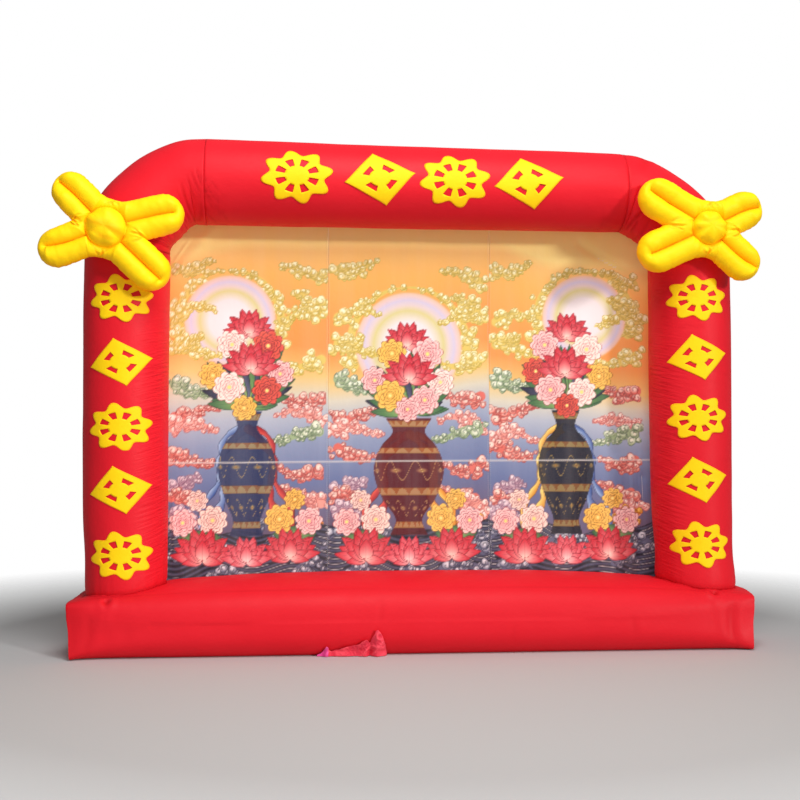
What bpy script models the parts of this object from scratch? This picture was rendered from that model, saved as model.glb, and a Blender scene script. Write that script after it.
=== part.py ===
"""Inflatable arch on a long inflated base, with a cloth backdrop hung between its posts.

Metres, +Z up. The origin is on the floor, in the middle of the base's underside. +X runs along the base
and -Y is the front. Every inflated piece is the closed outer form of its envelope.
"""

import math

import bmesh
import bpy
import numpy as np
from mathutils import Vector

# Base: a long bolster with flat ends, crowned between them.
BASE_LENGTH = 6.01
BASE_DEPTH = 0.94
BASE_END_HEIGHT = 0.475
BASE_CREST_HEIGHT = 0.665
BASE_BELLY = 0.08  # how far the front and back swell past the corners
BASE_SINK = 0.085  # how far the round section is pressed flat on the floor
BASE_END_PUFF = 0.045
BASE_RIGHT_ARCH = 0.045  # how far the right end's top edge is drawn up between its corners
BASE_FOOT_TUCK = 0.045  # the lower corners are drawn in
BASE_FOOT_SPREAD = 0.14  # and stand forward and back, as a share of the half depth
BASE_ROUND_POWER = 2.5  # the middle's section; 2 is an ellipse
BASE_SQUARE_POWER = 14  # the ends' section
BASE_SWELL_POWER = 6  # the higher, the nearer the ends the section stays round
BASE_CROWN_POWER = 3.4  # the same for the crown's height
BASE_CORNER_POWER = 12  # and for the lower corners
BASE_ARCH_POWER = 10
BASE_CROWDING = 0.55  # how far the rings crowd towards the ends
SECTION_SAMPLES = 121  # points at which a section is read
SECTION_MARGIN = 0.02  # in radians, off the section's foremost and hindmost point
BASE_RINGS = 28
BASE_SIDES = 28
END_CAP_RINGS = 3

# Arch tube.
POST_X = 2.579
POST_TOP = 3.52
BEND_RADIUS = 0.57
HEADER_Z_LEFT = 4.185
HEADER_Z_RIGHT = 4.156
HEADER_FROM = -1.88
HEADER_TO = 1.92
TUBE_RESOLUTION = 10  # gives 24 sides
GAP = 0.0003
SHARP_EDGE = math.radians(50)

# Backdrop: three widths hung on the back half of the arch tube.
BACKDROP_Y = 0.25
BACKDROP_HALF = 2.3
BACKDROP_JOINS = (-0.777, 0.738)
CLOTH_THICKNESS = 0.003
CLOTH_CLEARANCE = 0.006
ELBOW_CLEARANCE = (0.018, 0.024)  # left and right, where the bend draws the tube inwards
JOIN_GAP = 0.0012
CLEARANCE_UP = (3.2, 0.2)  # the height where the clearance starts to grow, and over what rise
CLEARANCE_OUT = (1.55, 0.3)  # the same outwards along the header
PANEL_COLUMNS = 9
PANEL_ROWS = 14
PANEL_CROWDING = 1.6  # how far columns crowd towards a sewn edge
SEWN_EDGE = (0.6, 3.85, 3.5)  # heights of a sewn edge's foot and head, and the most it is read at
BILLOW_FROM = 0.65
BILLOW_RISE = 3.2
TUBE_ROOM = 0.02  # this near the tube the cloth stays back
TUBE_SLOPE = 0.5  # and comes forward this much a metre beyond

# Ornaments: four lobes round a dome, each with a valley down its middle.
HUB_RADIUS = 0.25
HUB_BLEND = 0.22  # how softly the lobes run into each other round the hub
RIDGE_FRONT = 0.120
RIDGE_BACK = 0.085
DOME_FRONT = 0.185
VALLEY_HEIGHT = 0.50  # of a full ridge
NOTCH_WIDTH = 0.16  # a ridge this wide stands at its full height
FRONT_RINGS = (1.0, 0.94, 0.76, 0.50, 0.26, 0.08, 0.0)  # from the seam to the valley
BACK_RINGS = (1.0, 0.86, 0.50, 0.0)
DOME_RINGS = (1.0, 0.86, 0.50)
RIDGE_POWER = 0.8  # how a narrow ridge's height follows its width
VALLEY_POWER = 2.2  # how steeply a ridge falls to its valley
NOTCH_MARGIN = 0.3  # in radians, off a lobe's axis
COLLAR_MARGIN = 0.04
COLLAR_BLEND = 0.75
TIP_BLEND = 0.4
COLLAR_COLUMNS = 4
SIDE_COLUMNS = 2
TIP_COLUMNS = 6

# Sewn-on motifs, pierced between their middle and their rim.
MOTIF_THICKNESS = 0.002
MOTIF_LIFT = 0.009
MOTIF_SECTORS = 16
MOTIF_POST_HALF = (0.300, 0.212)  # round the post, up the post
MOTIF_HEADER_HALF = (0.322, 0.252)  # along the header, round the header
POST_LEFT_MOTIFS = (0.862, 1.426, 1.967, 2.527, 3.081)
POST_RIGHT_MOTIFS = (0.918, 1.499, 2.055, 2.604, 3.138)
POST_MOTIF_TURN = (0.0, -0.12)  # how far round the post they sit, left and right, in radians
HEADER_MOTIFS = (-1.068, -0.337, 0.332, 1.000)

# Loose flap of cloth at the foot of the base.
FLAP_X = (-0.885, -0.285)
FLAP_COLUMNS = 26
FLAP_ROWS = 6
FLAP_FOOT = 0.004
FLAP_STAND = 0.014  # how far it lies off the base
FLAP_REST = 0.05  # the height above which it follows the base's front
FLAP_LEAN = 0.8  # how far its folds close towards the edge

RED = (0.80, 0.017, 0.035)
FLAP_RED = (0.86, 0.06, 0.085)
YELLOW = (1.0, 0.62, 0.01)
PRINT_GROUND = (0.93, 0.62, 0.30)

# Columns: height, tube radius, sideways shift of the axis.
POST_LEFT_PROFILE = (
    (0.40, 0.362, 0.012),
    (0.60, 0.360, 0.013),
    (0.80, 0.358, 0.013),
    (1.15, 0.367, 0.005),
    (1.60, 0.372, 0.000),
    (2.40, 0.373, -0.003),
    (3.00, 0.376, -0.005),
    (3.44, 0.376, 0.000),
    (3.52, 0.376, 0.000),
)
POST_RIGHT_PROFILE = (
    (0.40, 0.372, 0.034),
    (0.58, 0.366, 0.030),
    (0.78, 0.350, 0.024),
    (1.15, 0.360, 0.010),
    (1.60, 0.368, 0.003),
    (2.40, 0.374, 0.004),
    (3.00, 0.376, 0.005),
    (3.44, 0.374, 0.000),
    (3.52, 0.374, 0.000),
)
POST_FURTHER_ROWS = (0.70, 0.75, 0.97, 1.35, 2.0)

# Columns: angle up from the post, radius of the bend's centre line, tube radius.
ELBOW_LEFT_BEND = (
    (0, 0.570, 0.376),
    (20, 0.540, 0.384),
    (45, 0.506, 0.384),
    (60, 0.520, 0.376),
    (75, 0.540, 0.372),
    (90, 0.570, 0.376),
)
ELBOW_RIGHT_BEND = (
    (0, 0.570, 0.374),
    (20, 0.542, 0.368),
    (45, 0.512, 0.352),
    (60, 0.505, 0.350),
    (78, 0.530, 0.348),
    (90, 0.570, 0.353),
)
ELBOW_STEP = 11.25

# Columns: place along the header, tube radius.
HEADER_PROFILE = ((-1.88, 0.384), (-1.2, 0.381), (-0.4, 0.375), (0.4, 0.371), (1.2, 0.366), (1.92, 0.362))

# Columns: lobe, sideways and upward place of its round end from the dome's centre, its end radius, how far
# past that end's centre its valley runs in end radii, and how far the valley's tip lies off the lobe's axis.
ORNAMENT_LEFT_LOBES = (
    ("upper_outer", -0.298, 0.314, 0.166, 0.66, 0.018),
    ("upper_inner", 0.478, 0.127, 0.175, 0.45, -0.010),
    ("lower_inner", 0.372, -0.360, 0.170, 0.60, 0.002),
    ("lower_outer", -0.412, -0.174, 0.163, 0.42, -0.036),
)
ORNAMENT_RIGHT_LOBES = (
    ("upper_inner", -0.440, 0.262, 0.184, 0.54, -0.012),
    ("upper_outer", 0.339, 0.168, 0.170, 0.71, -0.031),
    ("lower_outer", 0.316, -0.294, 0.168, 0.71, 0.041),
    ("lower_inner", -0.448, -0.208, 0.190, 0.40, -0.004),
)
ORNAMENT_LEFT_CENTRE = (-2.684, -0.490, 3.660)
ORNAMENT_RIGHT_CENTRE = (2.589, -0.468, 3.746)
DOME_LEFT = 0.172
DOME_RIGHT = 0.150

# Columns: fold's start and end (across, up), half width, how far it stands out to the front.
BACKDROP_FOLDS = (
    ((1.75, 3.45), (2.28, 3.05), 0.055, 0.022),
    ((1.62, 3.72), (2.24, 3.30), 0.050, -0.020),
    ((1.95, 1.65), (2.06, 0.62), 0.075, 0.030),
    ((2.20, 1.50), (2.16, 0.62), 0.045, -0.024),
    ((1.60, 1.20), (1.78, 0.62), 0.070, -0.018),
    ((-2.26, 3.30), (-1.85, 3.80), 0.060, 0.018),
    ((-2.20, 1.20), (-2.10, 0.60), 0.060, 0.020),
    ((-0.60, 1.10), (-0.45, 0.64), 0.090, -0.014),
)
BACKDROP_BILLOW = 0.035

# Columns: a place across the flap, how high its edge reaches, how far it stands out.
FLAP_FOLDS = (
    (-0.885, 0.012, 0.004),
    (-0.843, 0.030, 0.010),
    (-0.802, 0.085, 0.035),
    (-0.770, 0.045, 0.014),
    (-0.718, 0.055, 0.022),
    (-0.635, 0.078, 0.034),
    (-0.552, 0.100, 0.022),
    (-0.500, 0.125, 0.040),
    (-0.462, 0.152, 0.050),
    (-0.428, 0.118, 0.008),
    (-0.405, 0.185, 0.040),
    (-0.368, 0.228, 0.066),
    (-0.335, 0.192, 0.048),
    (-0.300, 0.090, 0.026),
    (-0.285, 0.030, 0.010),
)


def row_blend(rows, at, column):
    """A column of a table whose first column rises, eased from row to row."""
    if at <= rows[0][0]:
        return rows[0][column]
    for low, high in zip(rows, rows[1:], strict=False):
        if at <= high[0]:
            share = (at - low[0]) / (high[0] - low[0])
            share = share * share * (3 - 2 * share)
            return low[column] + (high[column] - low[column]) * share
    return rows[-1][column]


def clear_scene():
    for old in list(bpy.data.objects):
        bpy.data.objects.remove(old, do_unlink=True)


def new_collection(name):
    collection = bpy.data.collections.new(name)
    bpy.context.scene.collection.children.link(collection)
    return collection


def new_material(name, colour, roughness):
    material = bpy.data.materials.new(name)
    material.use_nodes = True
    shader = material.node_tree.nodes["Principled BSDF"]
    shader.inputs["Base Color"].default_value = (*colour, 1.0)
    shader.inputs["Roughness"].default_value = roughness
    shader.inputs["Metallic"].default_value = 0.0
    return material


def place(name, mesh, collection, material):
    node = bpy.data.objects.new(name, mesh)
    collection.objects.link(node)
    node.data.materials.append(material)
    return node


def mesh_of(name, bm):
    """The finished bmesh as a mesh with its faces outward and its curves shaded smooth."""
    bmesh.ops.recalc_face_normals(bm, faces=bm.faces)
    mesh = bpy.data.meshes.new(name)
    bm.to_mesh(mesh)
    bm.free()
    mesh.shade_smooth()
    mesh.set_sharp_from_angle(angle=SHARP_EDGE)
    return mesh


# ---------------------------------------------------------------- base


def base_section(x, turn):
    """A point (y, z) of the base's section at x: turn goes round it from the front, over the top."""
    outward = abs(x) / (BASE_LENGTH / 2)
    swell = 1 - outward**BASE_SWELL_POWER
    crown = 1 - outward**BASE_CROWN_POWER
    half = BASE_DEPTH / 2 + BASE_BELLY * swell
    height = BASE_END_HEIGHT + (BASE_CREST_HEIGHT - BASE_END_HEIGHT) * crown
    across, up = -math.cos(turn), math.sin(turn)

    def rounded(power):
        return (
            math.copysign(abs(across) ** (2 / power), across),
            math.copysign(abs(up) ** (2 / power), up),
        )

    round_across, round_up = rounded(BASE_ROUND_POWER)
    square_across, square_up = rounded(BASE_SQUARE_POWER)
    sink = BASE_SINK * swell
    middle, reach = (height - sink) / 2, (height + sink) / 2
    round_z = max(0.0, middle + reach * round_up)
    square_z = height / 2 * (1 + square_up)
    y = half * (round_across * swell + square_across * (1 - swell))
    z = round_z * swell + square_z * (1 - swell)
    y *= 1 + BASE_FOOT_SPREAD * outward**BASE_CORNER_POWER * max(1 - 2 * z / height, 0.0)
    if x > 0 and up > 0:
        z += BASE_RIGHT_ARCH * outward**BASE_ARCH_POWER * (1 - (y / half) ** 2)
    return y, z


def base_stations():
    """Places of the rings along the base, closer together towards the ends."""
    steps = np.linspace(-1, 1, BASE_RINGS + 1)
    crowded = BASE_CROWDING * np.sin(steps * math.pi / 2) + (1 - BASE_CROWDING) * steps
    return [float(place) for place in BASE_LENGTH / 2 * crowded]


def base_top(x, y):
    """The height of the base's upper surface over (x, y)."""
    turns = np.linspace(SECTION_MARGIN, math.pi - SECTION_MARGIN, SECTION_SAMPLES)
    points = np.array([base_section(x, turn) for turn in turns])
    return float(np.interp(y, points[:, 0], points[:, 1]))


def base_front(x, z):
    """How far forward (as y) the base's front reaches at height z."""
    reach = math.pi / 2 - SECTION_MARGIN
    turns = np.linspace(-reach, reach, SECTION_SAMPLES)
    points = np.array([base_section(x, turn) for turn in turns])
    return float(np.interp(z, points[:, 1], points[:, 0]))


def base_mesh():
    bm = bmesh.new()
    turns = [math.tau * side / BASE_SIDES for side in range(BASE_SIDES)]

    def ring(x, inset, puff):
        """One ring of points; inset draws it towards the middle of the end, puff pushes it out."""
        points = []
        centre_z = base_section(x, math.pi / 2)[1] / 2
        for turn in turns:
            y, z = base_section(x, turn)
            corner = (abs(x) / (BASE_LENGTH / 2)) ** BASE_CORNER_POWER
            tuck = BASE_FOOT_TUCK * corner * (1 - z / BASE_END_HEIGHT)
            along = x - math.copysign(tuck, x) + math.copysign(puff, x)
            points.append(bm.verts.new((along, y * (1 - inset), centre_z + (z - centre_z) * (1 - inset))))
        return points

    stations = base_stations()
    insets = [1 - (step + 1) / (END_CAP_RINGS + 1) for step in reversed(range(END_CAP_RINGS))]
    caps = []
    for x in (stations[0], stations[-1]):
        caps.append([ring(x, 1 - inset, BASE_END_PUFF * (1 - inset**2)) for inset in reversed(insets)])
    rings = list(reversed(caps[0])) + [ring(x, 0, 0) for x in stations] + caps[1]
    for here, there in zip(rings, rings[1:], strict=False):
        for side in range(BASE_SIDES):
            after = (side + 1) % BASE_SIDES
            bm.faces.new((here[side], here[after], there[after], there[side]))
    for last in (rings[0], rings[-1]):
        middle = sum((v.co for v in last), Vector()) / BASE_SIDES
        middle.x = math.copysign(BASE_LENGTH / 2 + BASE_END_PUFF, middle.x)
        tip = bm.verts.new(middle)
        for side in range(BASE_SIDES):
            bm.faces.new((last[side], last[(side + 1) % BASE_SIDES], tip))
    bmesh.ops.triangulate(bm, faces=bm.faces)
    return mesh_of("base", bm)


# ---------------------------------------------------------------- arch tube


def header_axis(x):
    """Height of the header's axis at x, on the line between the two bends."""
    reach = POST_X - BEND_RADIUS
    return HEADER_Z_LEFT + (HEADER_Z_RIGHT - HEADER_Z_LEFT) * (x + reach) / (2 * reach)


def bend_centre(side):
    """Centre of an elbow's bend; side is -1 on the left and 1 on the right."""
    height = HEADER_Z_LEFT if side < 0 else HEADER_Z_RIGHT
    return side * (POST_X - BEND_RADIUS), height - BEND_RADIUS


def elbow_path(side):
    """Rows of (x, z, radius) from the post up and round to the header."""
    bend = ELBOW_LEFT_BEND if side < 0 else ELBOW_RIGHT_BEND
    centre_x, centre_z = bend_centre(side)
    rows = [(side * POST_X, POST_TOP + GAP, bend[0][2])]
    for step in range(int(90 / ELBOW_STEP) + 1):
        angle = step * ELBOW_STEP
        turn = math.radians(angle)
        reach = row_blend(bend, angle, 1)
        rows.append((
            centre_x + side * reach * math.cos(turn),
            centre_z + reach * math.sin(turn),
            row_blend(bend, angle, 2),
        ))
    end = HEADER_FROM - GAP if side < 0 else HEADER_TO + GAP
    rows.append((end, header_axis(end), bend[-1][2]))
    return rows


def post_path(side):
    """Rows of (x, z, radius) up a post."""
    profile = POST_LEFT_PROFILE if side < 0 else POST_RIGHT_PROFILE
    heights = sorted({*(row[0] for row in profile), *POST_FURTHER_ROWS})
    return [(side * POST_X + row_blend(profile, z, 2), z, row_blend(profile, z, 1)) for z in heights]


def header_path():
    return [(x, header_axis(x), radius) for x, radius in HEADER_PROFILE]


def tube(name, rows, collection, material):
    """An inflated tube along rows of (x, z, radius): a bevelled curve with caps, made a mesh."""
    curve = bpy.data.curves.new(name, "CURVE")
    curve.dimensions = "3D"
    curve.bevel_depth = 1.0
    curve.bevel_resolution = TUBE_RESOLUTION
    curve.use_fill_caps = True
    spline = curve.splines.new("POLY")
    spline.points.add(len(rows) - 1)
    for point, (x, z, radius) in zip(spline.points, rows, strict=True):
        point.co = (x, 0.0, z, 1.0)
        point.radius = radius
    guide = bpy.data.objects.new(name + "_guide", curve)
    collection.objects.link(guide)
    bpy.context.view_layer.update()
    mesh = bpy.data.meshes.new_from_object(guide.evaluated_get(bpy.context.evaluated_depsgraph_get()))
    bpy.data.objects.remove(guide)
    mesh.name = name
    bm = bmesh.new()
    bm.from_mesh(mesh)
    bmesh.ops.remove_doubles(bm, verts=bm.verts, dist=1e-5)
    bmesh.ops.recalc_face_normals(bm, faces=bm.faces)
    bm.to_mesh(mesh)
    bm.free()
    mesh.shade_smooth()
    mesh.set_sharp_from_angle(angle=SHARP_EDGE)
    mesh.materials.clear()
    return place(name, mesh, collection, material)


def trim_by_base(post, cutter):
    """Trims a post's foot to the crowned top of the base."""
    trim = post.modifiers.new("foot", "BOOLEAN")
    trim.operation = "DIFFERENCE"
    trim.solver = "EXACT"
    trim.object = cutter


# ---------------------------------------------------------------- backdrop


def foremost_y(x, z):
    """The furthest forward (as y) the cloth may come at (x, z) and still hang clear of the arch tube."""
    side = -1 if x < 0 else 1
    centre_x, centre_z = bend_centre(side)
    outward, upward = abs(x) - abs(centre_x), z - centre_z
    if upward < 0:
        profile = POST_LEFT_PROFILE if side < 0 else POST_RIGHT_PROFILE
        away = abs(x) - POST_X - side * row_blend(profile, z, 2)
        radius = row_blend(profile, z, 1)
    elif outward < 0:
        away = z - header_axis(x)
        radius = row_blend(HEADER_PROFILE, x, 1)
    else:
        bend = ELBOW_LEFT_BEND if side < 0 else ELBOW_RIGHT_BEND
        angle = math.degrees(math.atan2(upward, outward))
        away = math.hypot(outward, upward) - row_blend(bend, angle, 1)
        radius = row_blend(bend, angle, 2)
    room = abs(away) - math.sqrt(radius**2 - BACKDROP_Y**2)
    return BACKDROP_Y - TUBE_SLOPE * max(room - TUBE_ROOM, 0.0)


def backdrop_y(x, z):
    """The cloth's place front to back: hung flat, a little billowed, with its main folds."""
    across = x / BACKDROP_HALF
    up = min(max((z - BILLOW_FROM) / BILLOW_RISE, 0.0), 1.0)
    inner = max(0.0, 1 - across**20)  # folds die out at the sewn edges
    billow = BACKDROP_BILLOW * (1 - across**4) * math.sin(math.pi * up)
    y = BACKDROP_Y + billow
    for start, end, width, height in BACKDROP_FOLDS:
        line = Vector(end) - Vector(start)
        share = (Vector((x, z)) - Vector(start)).dot(line) / line.length_squared
        near = Vector(start) + line * min(max(share, 0), 1)
        away = (Vector((x, z)) - near).length / width
        y -= height * math.exp(-(away**2)) * inner
    return max(y, foremost_y(x, z))


def clearance(side, share):
    """The cloth's clearance from the tube, growing to the elbow's as share goes from 0 to 1."""
    full = ELBOW_CLEARANCE[0 if side < 0 else 1]
    return CLOTH_CLEARANCE + (full - CLOTH_CLEARANCE) * min(max(share, 0.0), 1.0)


def backdrop_edge(side, z):
    """How far out (as x) the cloth reaches at height z: it is sewn along the back half of the post."""
    profile = POST_LEFT_PROFILE if side < 0 else POST_RIGHT_PROFILE
    chord = math.sqrt(row_blend(profile, z, 1) ** 2 - BACKDROP_Y**2)
    clear = clearance(side, (z - CLEARANCE_UP[0]) / CLEARANCE_UP[1])
    return side * (POST_X - chord - clear) + row_blend(profile, z, 2)


def backdrop_top(x):
    """The highest the cloth reaches at x, under the header and inside the elbows."""
    side = -1 if x < 0 else 1
    centre_x, centre_z = bend_centre(side)
    bend = ELBOW_LEFT_BEND if side < 0 else ELBOW_RIGHT_BEND
    outward = abs(x) - abs(centre_x)
    if outward <= 0:
        radius = row_blend(HEADER_PROFILE, x, 1)
        under = header_axis(x) - math.sqrt(radius**2 - BACKDROP_Y**2)
        return under - clearance(side, (abs(x) - CLEARANCE_OUT[0]) / CLEARANCE_OUT[1])
    low, high = 0.0, 90.0
    for _ in range(30):
        angle = (low + high) / 2
        chord = math.sqrt(row_blend(bend, angle, 2) ** 2 - BACKDROP_Y**2)
        opening = row_blend(bend, angle, 1) - chord - clearance(side, 1)
        if opening * math.cos(math.radians(angle)) > outward:
            low = angle
        else:
            high = angle
    return centre_z + opening * math.sin(math.radians(angle))


def backdrop_bottom(x):
    return base_top(x, BACKDROP_Y) + CLOTH_CLEARANCE


def panel(name, start, end, collection, material):
    """One cloth width; an end given as None is sewn along its post."""
    bm = bmesh.new()
    bmesh.ops.create_grid(bm, x_segments=PANEL_COLUMNS, y_segments=PANEL_ROWS, size=0.5)
    for vertex in bm.verts:
        across, up = vertex.co.x + 0.5, vertex.co.y + 0.5
        foot, head, most = SEWN_EDGE
        height = min(foot + (head - foot) * up, most)
        if start is None:
            across = across**PANEL_CROWDING
        if end is None:
            across = 1 - (1 - across) ** PANEL_CROWDING
        first = backdrop_edge(-1, height) if start is None else start
        last = backdrop_edge(1, height) if end is None else end
        x = first + (last - first) * across
        low, high = backdrop_bottom(x), backdrop_top(x)
        z = low + (high - low) * up
        vertex.co = (x, backdrop_y(x, z), z)
    node = place(name, mesh_of(name, bm), collection, material)
    thicken(node, CLOTH_THICKNESS)
    return node


def thicken(node, thickness):
    solid = node.modifiers.new("thickness", "SOLIDIFY")
    solid.thickness = thickness
    solid.offset = 0.0


# ---------------------------------------------------------------- ornaments


def inside_seam(u, w, lobes):
    """Above 0 inside the seam line round an ornament, 0 on it, with (u, w) from the dome's centre."""
    lobe = 9.0
    for _, end_u, end_w, radius, _, _ in lobes:
        length = math.hypot(end_u, end_w)
        along = min(max((u * end_u + w * end_w) / length, 0.0), length)
        off = math.hypot(u - end_u / length * along, w - end_w / length * along)
        lobe = min(lobe, off / radius)
    hub = math.hypot(u, w) / HUB_RADIUS
    mix = min(max(0.5 + 0.5 * (lobe - hub) / HUB_BLEND, 0.0), 1.0)
    return 1 - (lobe * (1 - mix) + hub * mix - HUB_BLEND * mix * (1 - mix))


def reach_seam(u, w, turn, lobes):
    """Where a line from (u, w) in the direction turn meets the seam."""
    high = 0.02
    while inside_seam(u + high * math.cos(turn), w + high * math.sin(turn), lobes) > 0:
        high += 0.02
    low = high - 0.02
    for _ in range(16):
        reach = (low + high) / 2
        if inside_seam(u + reach * math.cos(turn), w + reach * math.sin(turn), lobes) > 0:
            low = reach
        else:
            high = reach
    return Vector((u + low * math.cos(turn), w + low * math.sin(turn)))


def seam_notch(before, after, lobes):
    """The seam's nearest point to the dome between the directions of two lobes."""
    turns = np.linspace(before + NOTCH_MARGIN, after - NOTCH_MARGIN, 25)
    points = [reach_seam(0.0, 0.0, turn, lobes) for turn in turns]
    return min(zip(points, turns, strict=True), key=lambda pair: pair[0].length)


def valley_tip(lobe):
    """Where a lobe's valley ends."""
    _, end_u, end_w, radius, past, off = lobe
    axis = Vector((end_u, end_w)).normalized()
    return Vector((end_u, end_w)) + axis * (past * radius) + axis.orthogonal() * off


def half_lobe(lobe, side, collar, notch, notch_turn, dome, lobes):
    """Columns (foot on the valley or dome edge, point on the seam) from a notch to a lobe's round end.
    collar is how far out the lobe stands free of its neighbours."""
    end_u, end_w = lobe[1:3]
    turn = math.atan2(end_w, end_u)
    length = math.hypot(end_u, end_w)
    axis = Vector((math.cos(turn), math.sin(turn)))
    sideways = turn + side * math.pi / 2
    shoulder = reach_seam(axis.x * collar, axis.y * collar, sideways, lobes)
    notch_turn = turn + (notch_turn - turn + math.pi) % math.tau - math.pi
    columns = [(Vector((math.cos(notch_turn), math.sin(notch_turn))) * dome, notch)]
    for step in range(1, COLLAR_COLUMNS + 1):
        share = step / COLLAR_COLUMNS
        way = notch_turn + (turn - notch_turn) * share
        near = notch.lerp(shoulder, COLLAR_BLEND * share)
        rim = reach_seam(0.0, 0.0, math.atan2(near.y, near.x), lobes)
        columns.append((Vector((math.cos(way), math.sin(way))) * dome, rim))
    for step in range(SIDE_COLUMNS):
        foot = axis * (collar + (length - collar) * step / SIDE_COLUMNS)
        columns.append((foot, reach_seam(foot.x, foot.y, sideways, lobes)))
    middle = axis * length
    foot = middle.lerp(valley_tip(lobe), TIP_BLEND)
    columns.append((foot, reach_seam(middle.x, middle.y, sideways, lobes)))
    return columns


def ornament_columns(lobes, dome):
    """All columns round an ornament, in order."""
    lobes = sorted(lobes, key=lambda lobe: math.atan2(lobe[2], lobe[1]) % math.tau)
    turns = [math.atan2(lobe[2], lobe[1]) % math.tau for lobe in lobes]
    after = [*turns[1:], turns[0] + math.tau]
    notches = [seam_notch(turn, following, lobes) for turn, following in zip(turns, after, strict=True)]
    columns = []
    for index, lobe in enumerate(lobes):
        before, behind = notches[index - 1], notches[index]
        middle = Vector(lobe[1:3])
        axis = middle.normalized()
        collar = max(before[0].dot(axis), behind[0].dot(axis), dome) + COLLAR_MARGIN
        columns += half_lobe(lobe, -1, collar, *before, dome, lobes)
        foot = valley_tip(lobe)
        for step in range(1, TIP_COLUMNS):
            way = turns[index] - math.pi / 2 + math.pi * step / TIP_COLUMNS
            columns.append((foot, reach_seam(middle.x, middle.y, way, lobes)))
        columns += list(reversed(half_lobe(lobe, 1, collar, *behind, dome, lobes)))[:-1]
    return columns


def ridge(share, width):
    """Height over the seam's plane out of a full ridge's: share is 1 on the seam, 0 in the valley."""
    full = min(width / NOTCH_WIDTH, 1.0) ** RIDGE_POWER
    if share > 0.5:
        return full * math.sqrt(max(1 - (2 * share - 1) ** 2, 0.0))
    return full + (VALLEY_HEIGHT - full) * (1 - 2 * share) ** VALLEY_POWER


def ornament_mesh(name, lobes, dome, centre):
    bm = bmesh.new()
    columns = ornament_columns(lobes, dome)
    widths = [(rim - foot).length for foot, rim in columns]

    def ring(share, height):
        points = []
        for (foot, rim), width in zip(columns, widths, strict=True):
            spot = foot.lerp(rim, share)
            y = -height * ridge(share, width)
            points.append(bm.verts.new((centre[0] + spot.x, centre[1] + y, centre[2] + spot.y)))
        return points

    def skin(rings):
        count = len(columns)
        for here, there in zip(rings, rings[1:], strict=False):
            for side in range(count):
                after = (side + 1) % count
                corners = [here[side], here[after], there[after], there[side]]
                corners = list(dict.fromkeys(corners))
                bm.faces.new(corners)

    front = [ring(share, RIDGE_FRONT) for share in FRONT_RINGS]
    back = [front[0]] + [ring(share, -RIDGE_BACK) for share in BACK_RINGS[1:]]
    skin(front)
    skin(back)
    for base_ring, rise, sink in (
        (front[-1], DOME_FRONT, RIDGE_FRONT * VALLEY_HEIGHT),
        (back[-1], -RIDGE_BACK, -RIDGE_BACK * VALLEY_HEIGHT),
    ):
        bmesh.ops.remove_doubles(bm, verts=[v for v in base_ring if v.is_valid], dist=2e-4)
        mouth = [v for v in dict.fromkeys(base_ring) if v.is_valid]
        mouth = [v for v in mouth if math.hypot(v.co.x - centre[0], v.co.z - centre[2]) < dome * 1.02]
        mouth.sort(key=lambda v: math.atan2(v.co.z - centre[2], v.co.x - centre[0]))
        inner = [mouth]
        for share in DOME_RINGS[1:]:
            y = centre[1] - sink - (rise - sink) * math.sqrt(1 - share**2)
            inner.append([
                bm.verts.new((
                    centre[0] + (v.co.x - centre[0]) * share,
                    y,
                    centre[2] + (v.co.z - centre[2]) * share,
                ))
                for v in mouth
            ])
        for here, there in zip(inner, inner[1:], strict=False):
            for side in range(len(mouth)):
                after = (side + 1) % len(mouth)
                bm.faces.new((here[side], here[after], there[after], there[side]))
        tip = bm.verts.new((centre[0], centre[1] - rise, centre[2]))
        for side in range(len(mouth)):
            bm.faces.new((inner[-1][side], inner[-1][(side + 1) % len(mouth)], tip))
    bmesh.ops.dissolve_degenerate(bm, edges=bm.edges, dist=1e-5)
    return mesh_of(name, bm)


# ---------------------------------------------------------------- motifs


def rosette(turn):
    """Radii of a rosette at turn: middle disc, inner side of the rim, outer edge, all out of 1."""
    return 0.34, 0.60, 0.88 + 0.12 * math.cos(8 * turn)


def lozenge(turn):
    """Radii of a four-pointed figure with hollowed sides."""
    reach = 1 / (abs(math.cos(turn)) ** 0.9 + abs(math.sin(turn)) ** 0.9)
    return 0.30, 0.66 * reach, reach


# A figure and the sectors left open in it.
FIGURES = ((rosette, (0, 2, 4, 6, 8, 10, 12, 14)), (lozenge, (1, 2, 5, 6, 9, 10, 13, 14)))


def motif(name, figure, windows, half, on_tube, collection, material):
    """A pierced cut-out on a tube. windows names the sectors (out of 16) left open between its middle and
    its rim; on_tube turns (across, up) in metres into a point."""
    bm = bmesh.new()
    rings = [[], [], []]
    for sector in range(MOTIF_SECTORS):
        turn = math.tau * (sector + 0.5) / MOTIF_SECTORS
        for ring, reach in zip(rings, figure(turn - math.pi / MOTIF_SECTORS), strict=True):
            across, up = reach * math.cos(turn), reach * math.sin(turn)
            ring.append(bm.verts.new(on_tube(half[0] * across, half[1] * up)))
    middle = bm.verts.new(on_tube(0.0, 0.0))
    disc, inner, outer = rings
    for sector in range(MOTIF_SECTORS):
        after = (sector + 1) % MOTIF_SECTORS
        bm.faces.new((middle, disc[sector], disc[after]))
        bm.faces.new((inner[sector], outer[sector], outer[after], inner[after]))
        if sector not in windows:
            bm.faces.new((disc[sector], inner[sector], inner[after], disc[after]))
    node = place(name, mesh_of(name, bm), collection, material)
    node.data.shade_flat()
    thicken(node, MOTIF_THICKNESS)
    return node


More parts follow.
